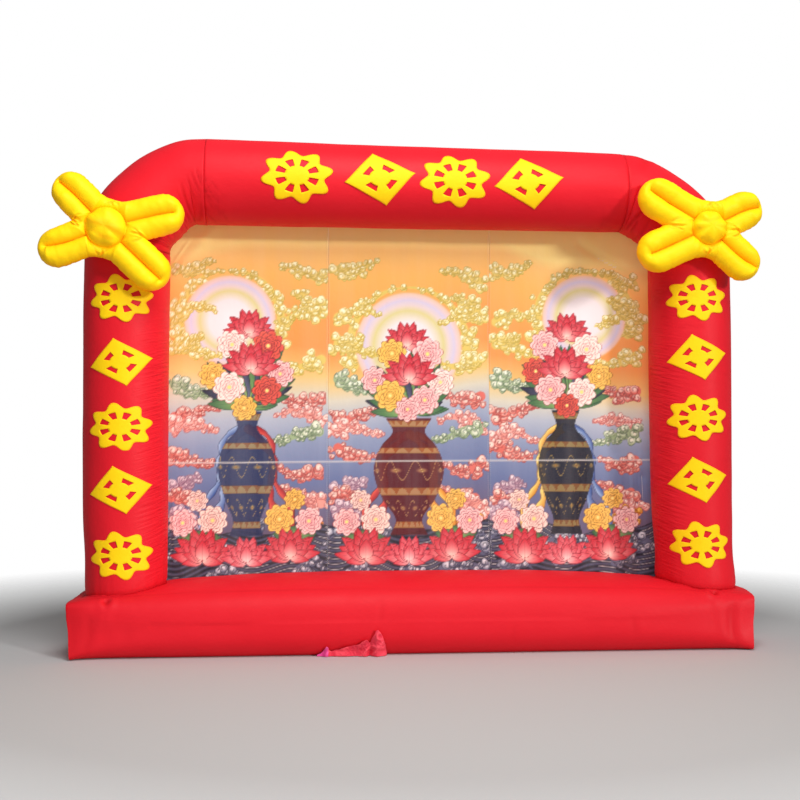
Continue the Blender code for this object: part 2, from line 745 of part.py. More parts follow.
def post_motif(name, side, height, figure, windows, collection, material):
    profile = POST_LEFT_PROFILE if side < 0 else POST_RIGHT_PROFILE
    swing = POST_MOTIF_TURN[0 if side < 0 else 1]

    def on_tube(around, along):
        z = height + along
        radius = row_blend(profile, z, 1)
        turn = around / radius + swing
        reach = radius + MOTIF_LIFT
        x = side * POST_X + row_blend(profile, z, 2)
        return x + reach * math.sin(turn), -reach * math.cos(turn), z

    return motif(name, figure, windows, MOTIF_POST_HALF, on_tube, collection, material)


def header_motif(name, x, figure, windows, collection, material):
    def on_tube(along, around):
        """On the header the cut-out's height runs round the tube and its width along it."""
        place_x = x + along
        radius = row_blend(HEADER_PROFILE, place_x, 1)
        turn = around / radius
        reach = radius + MOTIF_LIFT
        return place_x, -reach * math.cos(turn), header_axis(place_x) + reach * math.sin(turn)

    return motif(name, figure, windows, MOTIF_HEADER_HALF, on_tube, collection, material)


# ---------------------------------------------------------------- flap


def flap(collection, material):
    """The loose flap: a crumpled tongue of cloth standing against the foot of the base."""
    bm = bmesh.new()
    bmesh.ops.create_grid(bm, x_segments=FLAP_COLUMNS, y_segments=FLAP_ROWS, size=0.5)
    for vertex in bm.verts:
        x = FLAP_X[0] + (FLAP_X[1] - FLAP_X[0]) * (vertex.co.x + 0.5)
        up = vertex.co.y + 0.5
        z = FLAP_FOOT + row_blend(FLAP_FOLDS, x, 1) * up
        out = row_blend(FLAP_FOLDS, x, 2) * (1 - FLAP_LEAN * up)
        y = base_front(x, max(z, FLAP_REST)) - FLAP_STAND - out
        vertex.co = (x, y, z)
    node = place("front_flap", mesh_of("front_flap", bm), collection, material)
    thicken(node, CLOTH_THICKNESS)
    return node


def build():
    clear_scene()
    arch = new_collection("inflatable_arch")
    cutters = new_collection("cutters")
    red = new_material("red_cloth", RED, 0.48)
    flap_red = new_material("flap_cloth", FLAP_RED, 0.55)
    yellow = new_material("yellow_cloth", YELLOW, 0.45)
    printed = new_material("printed_cloth", PRINT_GROUND, 0.65)

    place("base", base_mesh(), arch, red)
    cutter = place("base_cutter", base_mesh(), cutters, red)
    cutter.hide_render = True
    cutter.display_type = "WIRE"
    grow = cutter.modifiers.new("clearance", "DISPLACE")
    grow.strength = GAP
    grow.mid_level = 0.0

    for side, word in ((-1, "left"), (1, "right")):
        post = tube(f"post_{word}", post_path(side), arch, red)
        trim_by_base(post, cutter)
        tube(f"elbow_{word}", elbow_path(side), arch, red)
        heights = POST_LEFT_MOTIFS if side < 0 else POST_RIGHT_MOTIFS
        for step, height in enumerate(heights):
            post_motif(f"post_motif_{word}_{step + 1}", side, height, *FIGURES[step % 2], arch, yellow)
    tube("header", header_path(), arch, red)
    for step, x in enumerate(HEADER_MOTIFS):
        header_motif(f"header_motif_{step + 1}", x, *FIGURES[step % 2], arch, yellow)

    left_join, right_join = BACKDROP_JOINS
    panel("backdrop_left", None, left_join - JOIN_GAP / 2, arch, printed)
    panel("backdrop_centre", left_join + JOIN_GAP / 2, right_join - JOIN_GAP / 2, arch, printed)
    panel("backdrop_right", right_join + JOIN_GAP / 2, None, arch, printed)

    left = ornament_mesh("ornament_left", ORNAMENT_LEFT_LOBES, DOME_LEFT, ORNAMENT_LEFT_CENTRE)
    right = ornament_mesh("ornament_right", ORNAMENT_RIGHT_LOBES, DOME_RIGHT, ORNAMENT_RIGHT_CENTRE)
    place("ornament_left", left, arch, yellow)
    place("ornament_right", right, arch, yellow)
    flap(arch, flap_red)


build()
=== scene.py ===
"""Looks of an inflatable arch: coated-cloth tubes on a bolster, a printed backdrop, grooved ornaments.

Metres, +Z up; +X runs along the base and -Y is the front. Every cloth piece replaces the plain solid that
holds its place. Its surface is worked out as a grid of points, gathered along its seams and creased where
the tube bends, and the print is laid on the backdrop's own points.
"""

import logging
import math
from collections.abc import Callable, Sequence
from dataclasses import dataclass, field
from enum import Enum
from functools import cached_property, partial

import bmesh
import bpy
import numpy as np
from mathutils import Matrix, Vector


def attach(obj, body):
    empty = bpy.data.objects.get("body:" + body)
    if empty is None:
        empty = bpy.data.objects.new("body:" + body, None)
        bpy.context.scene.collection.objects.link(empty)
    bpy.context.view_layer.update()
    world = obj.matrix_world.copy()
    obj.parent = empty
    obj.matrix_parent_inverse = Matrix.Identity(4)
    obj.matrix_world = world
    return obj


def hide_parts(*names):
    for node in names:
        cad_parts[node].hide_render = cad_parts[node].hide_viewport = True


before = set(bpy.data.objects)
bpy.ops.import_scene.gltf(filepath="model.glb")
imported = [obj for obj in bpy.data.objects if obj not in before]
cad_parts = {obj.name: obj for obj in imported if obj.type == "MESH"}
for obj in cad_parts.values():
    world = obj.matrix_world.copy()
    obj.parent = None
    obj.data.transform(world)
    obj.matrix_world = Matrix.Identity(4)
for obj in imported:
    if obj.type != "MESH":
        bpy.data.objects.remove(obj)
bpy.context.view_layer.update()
BODY = "root"
COLLECTION = "inflatable_arch_looks"

log = logging.getLogger("inflatable_arch")

Array = np.ndarray
Pair = tuple[float, float]
Colour = tuple[float, float, float]

FORWARD = np.array((0.0, -1.0, 0.0))
TUBE_RADIUS = 0.37
POST_LENGTH = 2.95
HEADER_LENGTH = 3.80


# ---------------------------------------------------------------- sums that the pieces share


def linear(colour: Sequence[float]) -> Array:
    """Turns 0..255 screen values into the light they stand for.

    Args:
        colour: one colour or an array of them, red, green and blue last.

    Returns:
        The same shape, from 0 to 1.
    """
    share = np.clip(np.asarray(colour, dtype=float) / 255, 0, 1)
    return np.where(share <= 0.04045, share / 12.92, ((share + 0.055) / 1.055) ** 2.4)


def bell(away: Array, width: float) -> Array:
    """1 at away = 0, falling off softly over width."""
    return np.exp(-((away / width) ** 2))


def ease(share: Array) -> Array:
    """Share held between 0 and 1, with soft ends."""
    share = np.clip(share, 0, 1)
    return share * share * (3 - 2 * share)


def running(steps: Array) -> Array:
    """Running total of steps, from 0."""
    return np.append(0, np.cumsum(steps))


def wrapped(angle: Array) -> Array:
    """The same angles between -pi and pi."""
    return (angle + math.pi) % math.tau - math.pi


def xyz(x: Array, y: Array, z: Array) -> Array:
    """Points out of their three coordinates."""
    return np.stack(np.broadcast_arrays(x, y, z), axis=-1)


def cells(grid: Array) -> Array:
    """The four corners of every cell of a grid, in order round it."""
    corners = [grid[:-1, :-1], grid[:-1, 1:], grid[1:, 1:], grid[1:, :-1]]
    return np.stack(corners, axis=2).reshape(-1, 4, *grid.shape[2:])


def at_stops(place: Array, stops: Sequence[tuple[float, Colour]]) -> Array:
    """Reads colours off a line of stops.

    Args:
        place: where to read.
        stops: places, rising, and their colours.

    Returns:
        A colour for each place.
    """
    knots = [row[0] for row in stops]
    return np.stack([np.interp(place, knots, [row[1][c] for row in stops]) for c in range(3)], axis=-1)


def from_line(across: Array, up: Array, start: Pair, end: Pair) -> tuple[Array, Array]:
    """Where points lie against a straight line.

    Args:
        across: first coordinate of the points.
        up: second coordinate of the points.
        start: the line's start.
        end: the line's end.

    Returns:
        The distance to the line and the share of its length at the nearest place, 0 to 1.
    """
    run, rise = end[0] - start[0], end[1] - start[1]
    share = ((across - start[0]) * run + (up - start[1]) * rise) / (run * run + rise * rise)
    share = np.clip(share, 0, 1)
    return np.hypot(across - start[0] - run * share, up - start[1] - rise * share), share


class Noise:
    """Smooth seeded noise from -1 to 1."""

    def __init__(self, seed: int) -> None:
        """Fills the table that the noise reads.

        Args:
            seed: fixes the noise.
        """
        self.table = np.random.default_rng(seed).uniform(-1, 1, 4096)

    def plane(self, across: Array, up: Array, period: int = 0) -> Array:
        """Noise over a plane, one hump for each unit.

        Args:
            across: first coordinate.
            up: second coordinate.
            period: units after which it repeats across; 0 for never.

        Returns:
            One value for each point.
        """
        across, up = np.broadcast_arrays(np.asarray(across, float), np.asarray(up, float))
        column, row = np.floor(across).astype(int), np.floor(up).astype(int)
        near, high = ease(across - column), ease(up - row)

        def corner(right: int, above: int) -> Array:
            """The table's value at one corner of each point's cell."""
            place = column + right
            if period:
                place = place % period
            return self.table[(place * 1619 + (row + above) * 2741) & 4095]

        low = corner(0, 0) * (1 - near) + corner(1, 0) * near
        top = corner(0, 1) * (1 - near) + corner(1, 1) * near
        return low * (1 - high) + top * high

    def line(self, along: Array, period: int = 0) -> Array:
        """Noise along a line."""
        return self.plane(along, np.zeros(np.shape(along)), period)


@dataclass
class Profile:
    """A table whose first column rises, read along a smooth curve through its rows."""

    rows: Sequence[Sequence[float]]

    def at(self, place: Array | float, column: int = 1) -> Array:
        """Reads a column.

        Args:
            place: where to read, in the first column's terms.
            column: which column.

        Returns:
            One value for each place.
        """
        table = np.array(self.rows, dtype=float)
        knots, values = table[:, 0], table[:, column]
        slopes = np.gradient(values, knots)
        index = np.clip(np.searchsorted(knots, place) - 1, 0, len(knots) - 2)
        span = knots[index + 1] - knots[index]
        share = np.clip((place - knots[index]) / span, 0, 1)
        rest = 1 - share
        return (
            values[index] * (1 + 2 * share) * rest**2
            + values[index + 1] * share**2 * (3 - 2 * share)
            + span * (slopes[index] * share * rest**2 - slopes[index + 1] * share**2 * rest)
        )


# ---------------------------------------------------------------- surfaces and objects


@dataclass
class Skin:
    """Points in rows and columns that are worked as one surface and then made a mesh.

    Attributes:
        points: rows, columns, place.
        wraps: whether the last column joins the first.
        capped: whether the first and last rows are closed, each by a fan round its middle.
        across: each column's place round the surface in metres, for the weave.
        along: each row's place along it in metres.
    """

    points: Array
    wraps: bool = False
    capped: bool = False
    across: Array | None = None
    along: Array | None = None
    colours: dict[str, Array] = field(default_factory=dict)

    def raw_normals(self) -> Array:
        """Unnormalised normals, by the grid's own turn."""
        up = np.gradient(self.points, axis=0)
        if self.wraps:
            right = np.roll(self.points, -1, 1) - np.roll(self.points, 1, 1)
        else:
            right = np.gradient(self.points, axis=1)
        return np.cross(right, up)

    def turned(self) -> bool:
        """Whether the grid's own normals point inwards, or away from the front on an open sheet."""
        normals = self.raw_normals()
        if not self.wraps:
            return bool(normals[..., 1].sum() > 0)
        spokes = self.points - self.points.mean(axis=1, keepdims=True)
        return bool((spokes * normals).sum() < 0)

    def normals(self) -> Array:
        """Outward unit normals."""
        normals = self.raw_normals()
        length = np.linalg.norm(normals, axis=2, keepdims=True)
        return normals / np.maximum(length, 1e-12) * (-1 if self.turned() else 1)

    def push(self, amount: Array) -> None:
        """Moves every point along its normal.

        Args:
            amount: metres for each point, outwards.
        """
        self.points = self.points + self.normals() * np.broadcast_to(amount, self.points.shape[:2])[..., None]

    def to_object(self, name: str, material: bpy.types.Material) -> bpy.types.Object:
        """Makes the mesh, with its weave coordinates and colours.

        Args:
            name: the object's name.
            material: its finish.

        Returns:
            The new object.
        """
        rows, columns = self.points.shape[:2]
        index = np.arange(rows * columns).reshape(rows, columns)
        turned = self.turned()
        across = np.arange(columns) * 0.01 if self.across is None else self.across
        along = np.arange(rows) * 0.01 if self.along is None else self.along
        if self.wraps:
            index = np.concatenate([index, index[:, :1]], axis=1)
            across = np.append(across, across[-1] + across[1] - across[0])
        right, up = np.meshgrid(across, along)
        weave = np.stack([right, up], axis=2)

        order = slice(None, None, -1 if turned else 1)
        faces = cells(index)[:, order].tolist()
        places = cells(weave)[:, order].reshape(-1, 2)
        points = self.points.reshape(-1, 3)
        if self.capped:
            for ring, flip in ((index[0], not turned), (index[-1], turned)):
                middle = points[ring[:-1]].mean(axis=0)
                tip = len(points)
                points = np.vstack([points, middle])
                pairs = zip(ring[:-1].tolist(), ring[1:].tolist(), strict=True)
                fan = [(b, a, tip) if flip else (a, b, tip) for a, b in pairs]
                faces += fan
                flat = points[np.array(fan)].reshape(-1, 3)
                places = np.vstack([places, flat[:, [1, 2]]])
        colours = {}
        for key, values in self.colours.items():
            extra = len(points) - rows * columns
            values = values.reshape(rows * columns, -1)
            colours[key] = np.vstack([values, np.repeat(values[:1], extra, axis=0)])
        return new_object(name, points, faces, material, places, colours)


def new_object(
    name: str,
    points: Array,
    faces: Sequence[Sequence[int]],
    material: bpy.types.Material,
    weave: Array | None = None,
    colours: dict[str, Array] | None = None,
) -> bpy.types.Object:
    """Makes a smooth mesh object in the scene.

    Args:
        name: the object's name.
        points: its points.
        faces: its faces.
        material: its finish.
        weave: a weave coordinate for each face corner.
        colours: named colours or values for each point.

    Returns:
        The new object.
    """
    mesh = bpy.data.meshes.new(name)
    mesh.from_pydata(np.asarray(points).tolist(), [], list(faces))
    mesh.shade_smooth()
    if weave is not None:
        layer = mesh.uv_layers.new(name="weave")
        layer.data.foreach_set("uv", np.asarray(weave, dtype=np.float32).ravel())
    for key, values in (colours or {}).items():
        if values.shape[1] == 3:
            layer = mesh.attributes.new(key, "FLOAT_COLOR", "POINT")
            full = np.concatenate([values, np.ones((len(values), 1))], axis=1)
            layer.data.foreach_set("color", full.astype(np.float32).ravel())
        else:
            layer = mesh.attributes.new(key, "FLOAT", "POINT")
            layer.data.foreach_set("value", values.astype(np.float32).ravel())
    mesh.materials.append(material)
    piece = bpy.data.objects.new(name, mesh)
    looks_collection().objects.link(piece)
    return piece


def looks_collection() -> bpy.types.Collection:
    """The collection that holds every new piece."""
    found = bpy.data.collections.get(COLLECTION)
    if found is None:
        found = bpy.data.collections.new(COLLECTION)
        bpy.context.scene.collection.children.link(found)
    return found


class Held(Enum):
    """How a sheet of cloth is held."""

    STRETCHED = "stretched"
    DRAPED = "draped"


def stand_in(piece: bpy.types.Object, node: str) -> None:
    """Puts a piece on the arch in the place of its solid, and hides the solid."""
    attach(piece, BODY)
    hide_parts(node)


def fit_padded(piece: bpy.types.Object, node: str) -> None:
    """Fits an air-filled piece, blown up tight."""
    stand_in(piece, node)


def fit_sheet(piece: bpy.types.Object, node: str, held: Held) -> None:
    """Fits a sheet of cloth.

    Args:
        piece: the new piece.
        node: the solid it stands for.
        held: how it is held; not used.
    """
    stand_in(piece, node)


# ---------------------------------------------------------------- finishes


def feed(tree: bpy.types.NodeTree, socket: bpy.types.NodeSocket, value: object) -> None:
    """Links a socket, or sets its value."""
    if isinstance(value, Value):
        value = value.socket
    if isinstance(value, bpy.types.NodeSocket):
        tree.links.new(value, socket)
    else:
        socket.default_value = value


def add_node(
    tree: bpy.types.NodeTree, kind: str, settings: dict | None = None, inputs: dict | None = None
) -> bpy.types.Node:
    """Adds a node to a tree.

    Args:
        tree: the tree.
        kind: the node's type.
        settings: its own settings, set before its sockets; stops are a ramp's places and colours.
        inputs: values or links, by a socket's name or number.

    Returns:
        The new node.
    """
    node = tree.nodes.new(kind)
    for key, value in (settings or {}).items():
        if key == "stops":
            for stop, (place, shade) in enumerate(value):
                elements = node.color_ramp.elements
                element = elements[stop] if stop < 2 else elements.new(place)
                element.position = place
                element.color = (*shade, 1.0)
        else:
            setattr(node, key, value)
    for key, value in (inputs or {}).items():
        feed(tree, node.inputs[key], value)
    return node


def operator(kind: str, flipped: bool = False) -> Callable[["Value", "Value | float"], "Value"]:
    """Makes an operator that adds one Math node.

    Args:
        kind: the node's operation.
        flipped: whether the value stands on the right.

    Returns:
        The operator's method.
    """

    def apply(self: "Value", other: "Value | float") -> "Value":
        """Adds the node."""
        return self.graph.maths(kind, *((other, self) if flipped else (self, other)))

    return apply


class Value:
    """A shader socket that sums can be written with."""

    __add__ = __radd__ = operator("ADD")
    __sub__ = operator("SUBTRACT")
    __rsub__ = operator("SUBTRACT", flipped=True)
    __mul__ = __rmul__ = operator("MULTIPLY")
    __truediv__ = operator("DIVIDE")
    __rtruediv__ = operator("DIVIDE", flipped=True)

    def __init__(self, graph: "Graph", socket: bpy.types.NodeSocket) -> None:
        """Keeps the socket and the graph it belongs to."""
        self.graph = graph
        self.socket = socket


class Graph:
    """A material's nodes, made through a few short calls."""

    def __init__(self, name: str) -> None:
        """Starts a material with its main shader and the object's own coordinates."""
        self.material = bpy.data.materials.new(name)
        self.material.use_nodes = True
        self.tree = self.material.node_tree
        self.shader = self.tree.nodes["Principled BSDF"]
        self.place = self.node("ShaderNodeTexCoord").outputs["Object"]

    def node(self, kind: str, settings: dict | None = None, **inputs: object) -> bpy.types.Node:
        """Adds a node.

        Args:
            kind: its type.
            settings: its own settings, set before its sockets.
            inputs: values or links by socket name, with _ for a space, or by number as n0, n1.

        Returns:
            The new node.
        """
        sockets = {}
        for key, value in inputs.items():
            sockets[int(key[1:]) if key[1:].isdigit() else key.replace("_", " ")] = value
        return add_node(self.tree, kind, settings, sockets)

    def surface(self, **inputs: object) -> bpy.types.Material:
        """Feeds the main shader's sockets, named with _ for a space, and gives the material."""
        for name, value in inputs.items():
            feed(self.tree, self.shader.inputs[name.replace("_", " ")], value)
        return self.material

    def maths(self, operation: str, *values: "Value | float") -> Value:
        """One sum of numbers."""
        node = self.node("ShaderNodeMath", {"operation": operation},
                         **{f"n{i}": v for i, v in enumerate(values)})
        return Value(self, node.outputs[0])

    def mix(self, share: "Value | float", first: object, second: object) -> Value:
        """Two colours laid over each other.

        Args:
            share: how much of the second shows.
            first: the lower colour.
            second: the upper colour.

        Returns:
            The mixed colour.
        """
        node = self.node("ShaderNodeMix", {"data_type": "RGBA"}, n0=share, n6=first, n7=second)
        return Value(self, node.outputs[2])

    def noise(self, place: object, scale: float, detail: float = 3.0, stretch: Colour = (1, 1, 1)) -> Value:
        """Soft noise from 0 to 1 over a place.

        Args:
            place: the coordinates.
            scale: humps for each metre.
            detail: finer layers on top.
            stretch: scale along each axis.

        Returns:
            The noise.
        """
        spot = self.node("ShaderNodeMapping", None, Vector=place, Scale=stretch).outputs[0]
        return Value(self, self.node("ShaderNodeTexNoise", None, Vector=spot, Scale=scale,
                                     Detail=detail).outputs[0])

    def ramp(self, value: Value, *stops: Pair) -> Value:
        """A number read off a line of stops, as (place, grey)."""
        settings = {"stops": [(place, (grey, grey, grey)) for place, grey in stops]}
        return Value(self, self.node("ShaderNodeValToRGB", settings, Fac=value).outputs[0])

    def bump(self, height: Value, distance: float, strength: float = 1.0, under: object = None) -> Value:
        """Fine relief.

        Args:
            height: from 0 to 1.
            distance: how far 1 stands out, in metres.
            strength: how much of it shows.
            under: relief that it lies on.

        Returns:
            The normal to feed on.
        """
        inputs = {"Height": height, "Distance": distance, "Strength": strength}
        if under is not None:
            inputs["Normal"] = under
        return Value(self, self.node("ShaderNodeBump", None, **inputs).outputs[0])

    def attribute(self, name: str, output: str = "Color") -> Value:
        """A named colour or value of the mesh."""
        return Value(self, self.node("ShaderNodeAttribute", {"attribute_name": name}).outputs[output])


@dataclass(frozen=True)
class CoatedCloth:
    """Taut coated nylon: one dyed colour with painted shade and a painted glow, a plain weave that barely
    shows, a soft gloss.

    Attributes:
        name: the material's name.
        colour: the dye, lit.
        deep: the colour painted as shade where the cloth is gathered or shaded; the painted glow has it too.
        pale: the dye where it is stretched thin or rubbed.
        roughness: of the smooth face.
        sheen: soft glow of the threads at a slant.
        crinkle: how strongly the fine crumple shows.
        gloss: strength of its shine.
        glow: strength of a painted glow in the deep colour, standing in for light that comes through the
            cloth.
        pull_slant: how fine pulls in slack cloth lean, in radians.
        pull_size: their length and width, in metres.
    """

    name: str
    colour: Colour
    deep: Colour
    pale: Colour
    roughness: float = 0.42
    sheen: float = 0.04
    crinkle: float = 0.5
    gloss: float = 0.16
    glow: float = 0.0
    pull_slant: float = -0.16
    pull_size: Colour = (0.22, 0.022, 1.0)

    def build(self) -> bpy.types.Material:
        """Makes the material.

        Returns:
            The finish.
        """
        graph = Graph(self.name)
        place = graph.place
        weave = graph.node("ShaderNodeUVMap", {"uv_map": "weave"}).outputs[0]
        # painted shade from the mesh: it swaps the dye for the deep colour and makes the cloth rougher
        fold = graph.attribute("fold", "Fac")
        cloudy = graph.noise(place, 2.3, 3.0)
        threads = graph.noise(weave, 1.0, 2.0, (420.0, 26.0, 1.0))
        cross_threads = graph.noise(weave, 1.0, 2.0, (26.0, 420.0, 1.0))
        grain = (threads + cross_threads) * 0.5
        dyed = graph.mix(graph.ramp(cloudy, (0.30, 0.0), (0.72, 1.0)) * 0.35, (*self.colour, 1),
                         (*self.pale, 1))
        dyed = graph.mix(graph.ramp(fold, (0.0, 0.0), (1.0, 1.0)), dyed, (*self.deep, 1))
        dyed = graph.mix(graph.ramp(grain, (0.35, 0.0), (0.65, 1.0)) * 0.10, dyed, (*self.deep, 1))
        crumple = graph.noise(place, 9.0, 4.0) * 0.6 + graph.noise(place, 34.0, 3.0) * 0.4
        coarse = graph.bump(crumple, 0.006, self.crinkle)
        lie = graph.node("ShaderNodeMapping", {"vector_type": "TEXTURE"}, Vector=weave,
                         Rotation=(0.0, 0.0, self.pull_slant), Scale=self.pull_size).outputs[0]
        pulls = graph.noise(lie, 1.0, 2.0) * graph.attribute("slack", "Fac")
        drawn = graph.bump(pulls, 0.019, 1.0, coarse)
        return graph.surface(
            Base_Color=dyed,
            Roughness=self.roughness + graph.noise(place, 7.0) * 0.14 + fold * 0.12,
            Normal=graph.bump(grain, 0.0006, 0.35, drawn),
            Specular_IOR_Level=self.gloss,
            # painted glow: the deep colour given off as light, standing in for light through the cloth
            Emission_Color=(*self.deep, 1),
            Emission_Strength=self.glow,
            Sheen_Weight=self.sheen,
            Sheen_Roughness=0.5,
            Sheen_Tint=(*self.pale, 1),
        )


@dataclass(frozen=True)
class PrintedCloth:
    """Light polyester banner cloth, dye-printed on the front, with a painted glow of its own print standing
    in for light that comes through it.
    """

    name: str
    roughness: float = 0.55
    painted_glow: float = 0.10

    def build(self) -> bpy.types.Material:
        """Makes the material.

        Returns:
            The finish.
        """
        graph = Graph(self.name)
        place = graph.place
        paint = graph.attribute("print")
        threads = graph.noise(place, 1.0, 2.0, (300.0, 8.0, 20.0))
        picks = graph.noise(place, 1.0, 2.0, (20.0, 8.0, 300.0))
        grain = (threads + picks) * 0.5
        streak = graph.noise(place, 1.0, 3.0, (9.0, 1.0, 0.6))
        faded = graph.mix(graph.ramp(streak, (0.35, 0.0), (0.75, 1.0)) * 0.04, paint, (0.92, 0.88, 0.84, 1))
        shown = graph.mix(graph.ramp(grain, (0.30, 0.0), (0.70, 1.0)) * 0.06, faded, (0.45, 0.38, 0.36, 1))
        wrinkle = graph.noise(place, 1.0, 4.0, (7.0, 1.0, 2.2)) * 0.7 + graph.noise(place, 22.0, 3.0) * 0.3
        coarse = graph.bump(wrinkle, 0.010, 0.5)
        return graph.surface(
            Base_Color=shown,
            Roughness=self.roughness + graph.noise(place, 5.0) * 0.15,
            Normal=graph.bump(grain, 0.0008, 0.3, coarse),
            # painted glow: the print given off as light, standing in for light that comes through the cloth
            Emission_Color=shown,
            Emission_Strength=self.painted_glow,
            Specular_IOR_Level=0.2,
            Sheen_Weight=0.03,
            Sheen_Roughness=0.6,
        )


@dataclass(frozen=True)
class Thread:
    """Twisted sewing thread."""

    name: str
    colour: Colour

    def build(self) -> bpy.types.Material:
        """Makes the material.

        Returns:
            The finish.
        """
        graph = Graph(self.name)
        place = graph.place
        twist = graph.noise(place, 900.0, 2.0)
        shown = graph.mix(twist * 0.5, (*self.colour, 1), tuple(0.6 * c for c in self.colour) + (1,))
        return graph.surface(Base_Color=shown, Roughness=0.5 + twist * 0.2)


@dataclass(frozen=True)
class StudioFloor:
    """Plain pale floor that fades out round the arch."""

    name: str = "pale_floor"
    colour: Colour = (0.58, 0.58, 0.575)
    fade: Pair = (4.2, 8.0)

    def build(self) -> bpy.types.Material:
        """Makes the material.

        Returns:
            The finish.
        """
        graph = Graph(self.name)
        place = graph.place
        cloudy = graph.noise(place, 0.8, 3.0)
        shown = graph.mix(cloudy * 0.08, (*self.colour, 1), (0.53, 0.53, 0.53, 1))
        near, far = self.fade
        away = Value(graph,
                     graph.node("ShaderNodeVectorMath", {"operation": "LENGTH"}, n0=place).outputs["Value"])
        shows = graph.ramp(away / (2 * far), (near / far / 2, 1.0), (0.5, 0.0))
        return graph.surface(Base_Color=shown, Alpha=shows, Roughness=0.8)


class Finish(Enum):
    """Every finish of the arch."""

    # In each coated cloth the second colour is its painted shade and glow= sets a painted glow; the third is
    # a paler tone laid at random.
    RED = CoatedCloth("red_cloth", (0.80, 0.012, 0.024), (0.56, 0.004, 0.010), (0.86, 0.018, 0.032))
    YELLOW = CoatedCloth(
        "yellow_cloth", (1.0, 0.70, 0.004), (1.0, 0.38, 0.002), (1.0, 0.78, 0.006), 0.45, 0.02, 0.8, glow=0.16
    )
    MOTIF = CoatedCloth(
        "motif_cloth", (1.0, 0.66, 0.004), (1.0, 0.48, 0.003), (1.0, 0.72, 0.006), 0.5, 0.02, 0.3, glow=0.10
    )
    FLAP = CoatedCloth("flap_cloth", (0.93, 0.075, 0.11), (0.60, 0.012, 0.04), (0.98, 0.14, 0.19), glow=0.08)
    FLAP_TIP = CoatedCloth(
        "flap_tip_cloth", (0.90, 0.10, 0.34), (0.60, 0.02, 0.20), (0.95, 0.20, 0.45), glow=0.08
    )
    PRINTED = PrintedCloth("printed_cloth")
    RED_THREAD = Thread("red_thread", (0.55, 0.01, 0.02))
    YELLOW_THREAD = Thread("yellow_thread", (0.95, 0.52, 0.01))
    PALE_THREAD = Thread("pale_thread", (0.85, 0.80, 0.74))
    FLOOR = StudioFloor()

    @cached_property
    def material(self) -> bpy.types.Material:
        """Its material, built once."""
        return self.value.build()


# ---------------------------------------------------------------- seams, gathers and creases


@dataclass(frozen=True)
class Seam:
    """A sewn seam: a thin groove with gathers beside it.

    Attributes:
        seed: fixes its gathers.
        groove: depth of the groove.
        width: half width of the groove.
        spacing: distance between gathers.
        height: how high a gather stands.
        reach: how far gathers run into the cloth.
        draw: how far the seam draws the cloth in.
        draw_reach: how far from the seam that is felt.
        dark: how dark the painted shade in its groove is.
    """

    seed: int
    groove: float = 0.005
    width: float = 0.007
    spacing: float = 0.035
    height: float = 0.0035
    reach: float = 0.07
    draw: float = 0.006
    draw_reach: float = 0.05
    dark: float = 0.7

    def relief(self, away: Array, along: Array, period: float = 0.0) -> Array:
        """Height of the cloth beside the seam.

        Args:
            away: distance from the seam.
            along: place along the seam.
            period: the length after which the seam closes on itself; 0 for an open one.

        Returns:
            Metres outwards, less than 0 in the groove.
        """
        away = np.abs(away)
        count = max(round(period / self.spacing), 0)
        step = period / count if count else self.spacing
        folds, lengths = Noise(self.seed), Noise(self.seed + 1)
        ridge = folds.line(along / step, count) * 0.7 + folds.line(along / step * 2 + 0.5, count * 2) * 0.3
        reach = self.reach * (0.45 + 1.1 * np.abs(lengths.line(along / step, count)))
        gather = self.height * ridge * np.exp(-away / reach) * (1 - bell(away, self.width))
        drawn = self.draw * np.exp(-away / self.draw_reach)
        return gather - self.groove * bell(away, self.width) - drawn

    def shade(self, away: Array) -> Array:
        """Painted shade in the groove and beside it among the gathers, 0 to 1."""
        return self.dark * bell(np.abs(away), self.width * 1.3) + 0.15 * np.exp(-np.abs(away) / self.reach)


@dataclass(frozen=True)
class Crease:
    """A sharp crease across the surface's own two coordinates, with painted shade along it.

    Attributes:
        start: where it begins.
        end: where it ends.
        depth: how deep it is; less than 0 for a ridge.
        width: its half width.
        bend: how far its middle bows sideways.
    """

    start: Pair
    end: Pair
    depth: float
    width: float = 0.012
    bend: float = 0.0

    def relief(self, across: Array, up: Array) -> tuple[Array, Array]:
        """Its height and its shade.

        Args:
            across: the surface's first coordinate.
            up: the surface's second coordinate.

        Returns:
            Metres outwards, and the painted shade along it, 0 to 1.
        """
        run, rise = self.end[0] - self.start[0], self.end[1] - self.start[1]
        length = math.hypot(run, rise)
        _, share = from_line(across, up, self.start, self.end)
        bow = self.bend * 4 * share * (1 - share)
        away, share = from_line(across + bow * rise / length, up - bow * run / length, self.start, self.end)
        taper = np.sin(math.pi * np.clip(share, 0.02, 0.98)) ** 0.6
        valley = bell(away, self.width) - 0.45 * bell(away - 2.2 * self.width, 1.2 * self.width)
        # the painted shade along the crease grows with its depth
        dark = min(0.6, 90 * abs(self.depth))
        return -self.depth * valley * taper, dark * bell(away, self.width * 1.2) * taper


# ---------------------------------------------------------------- base


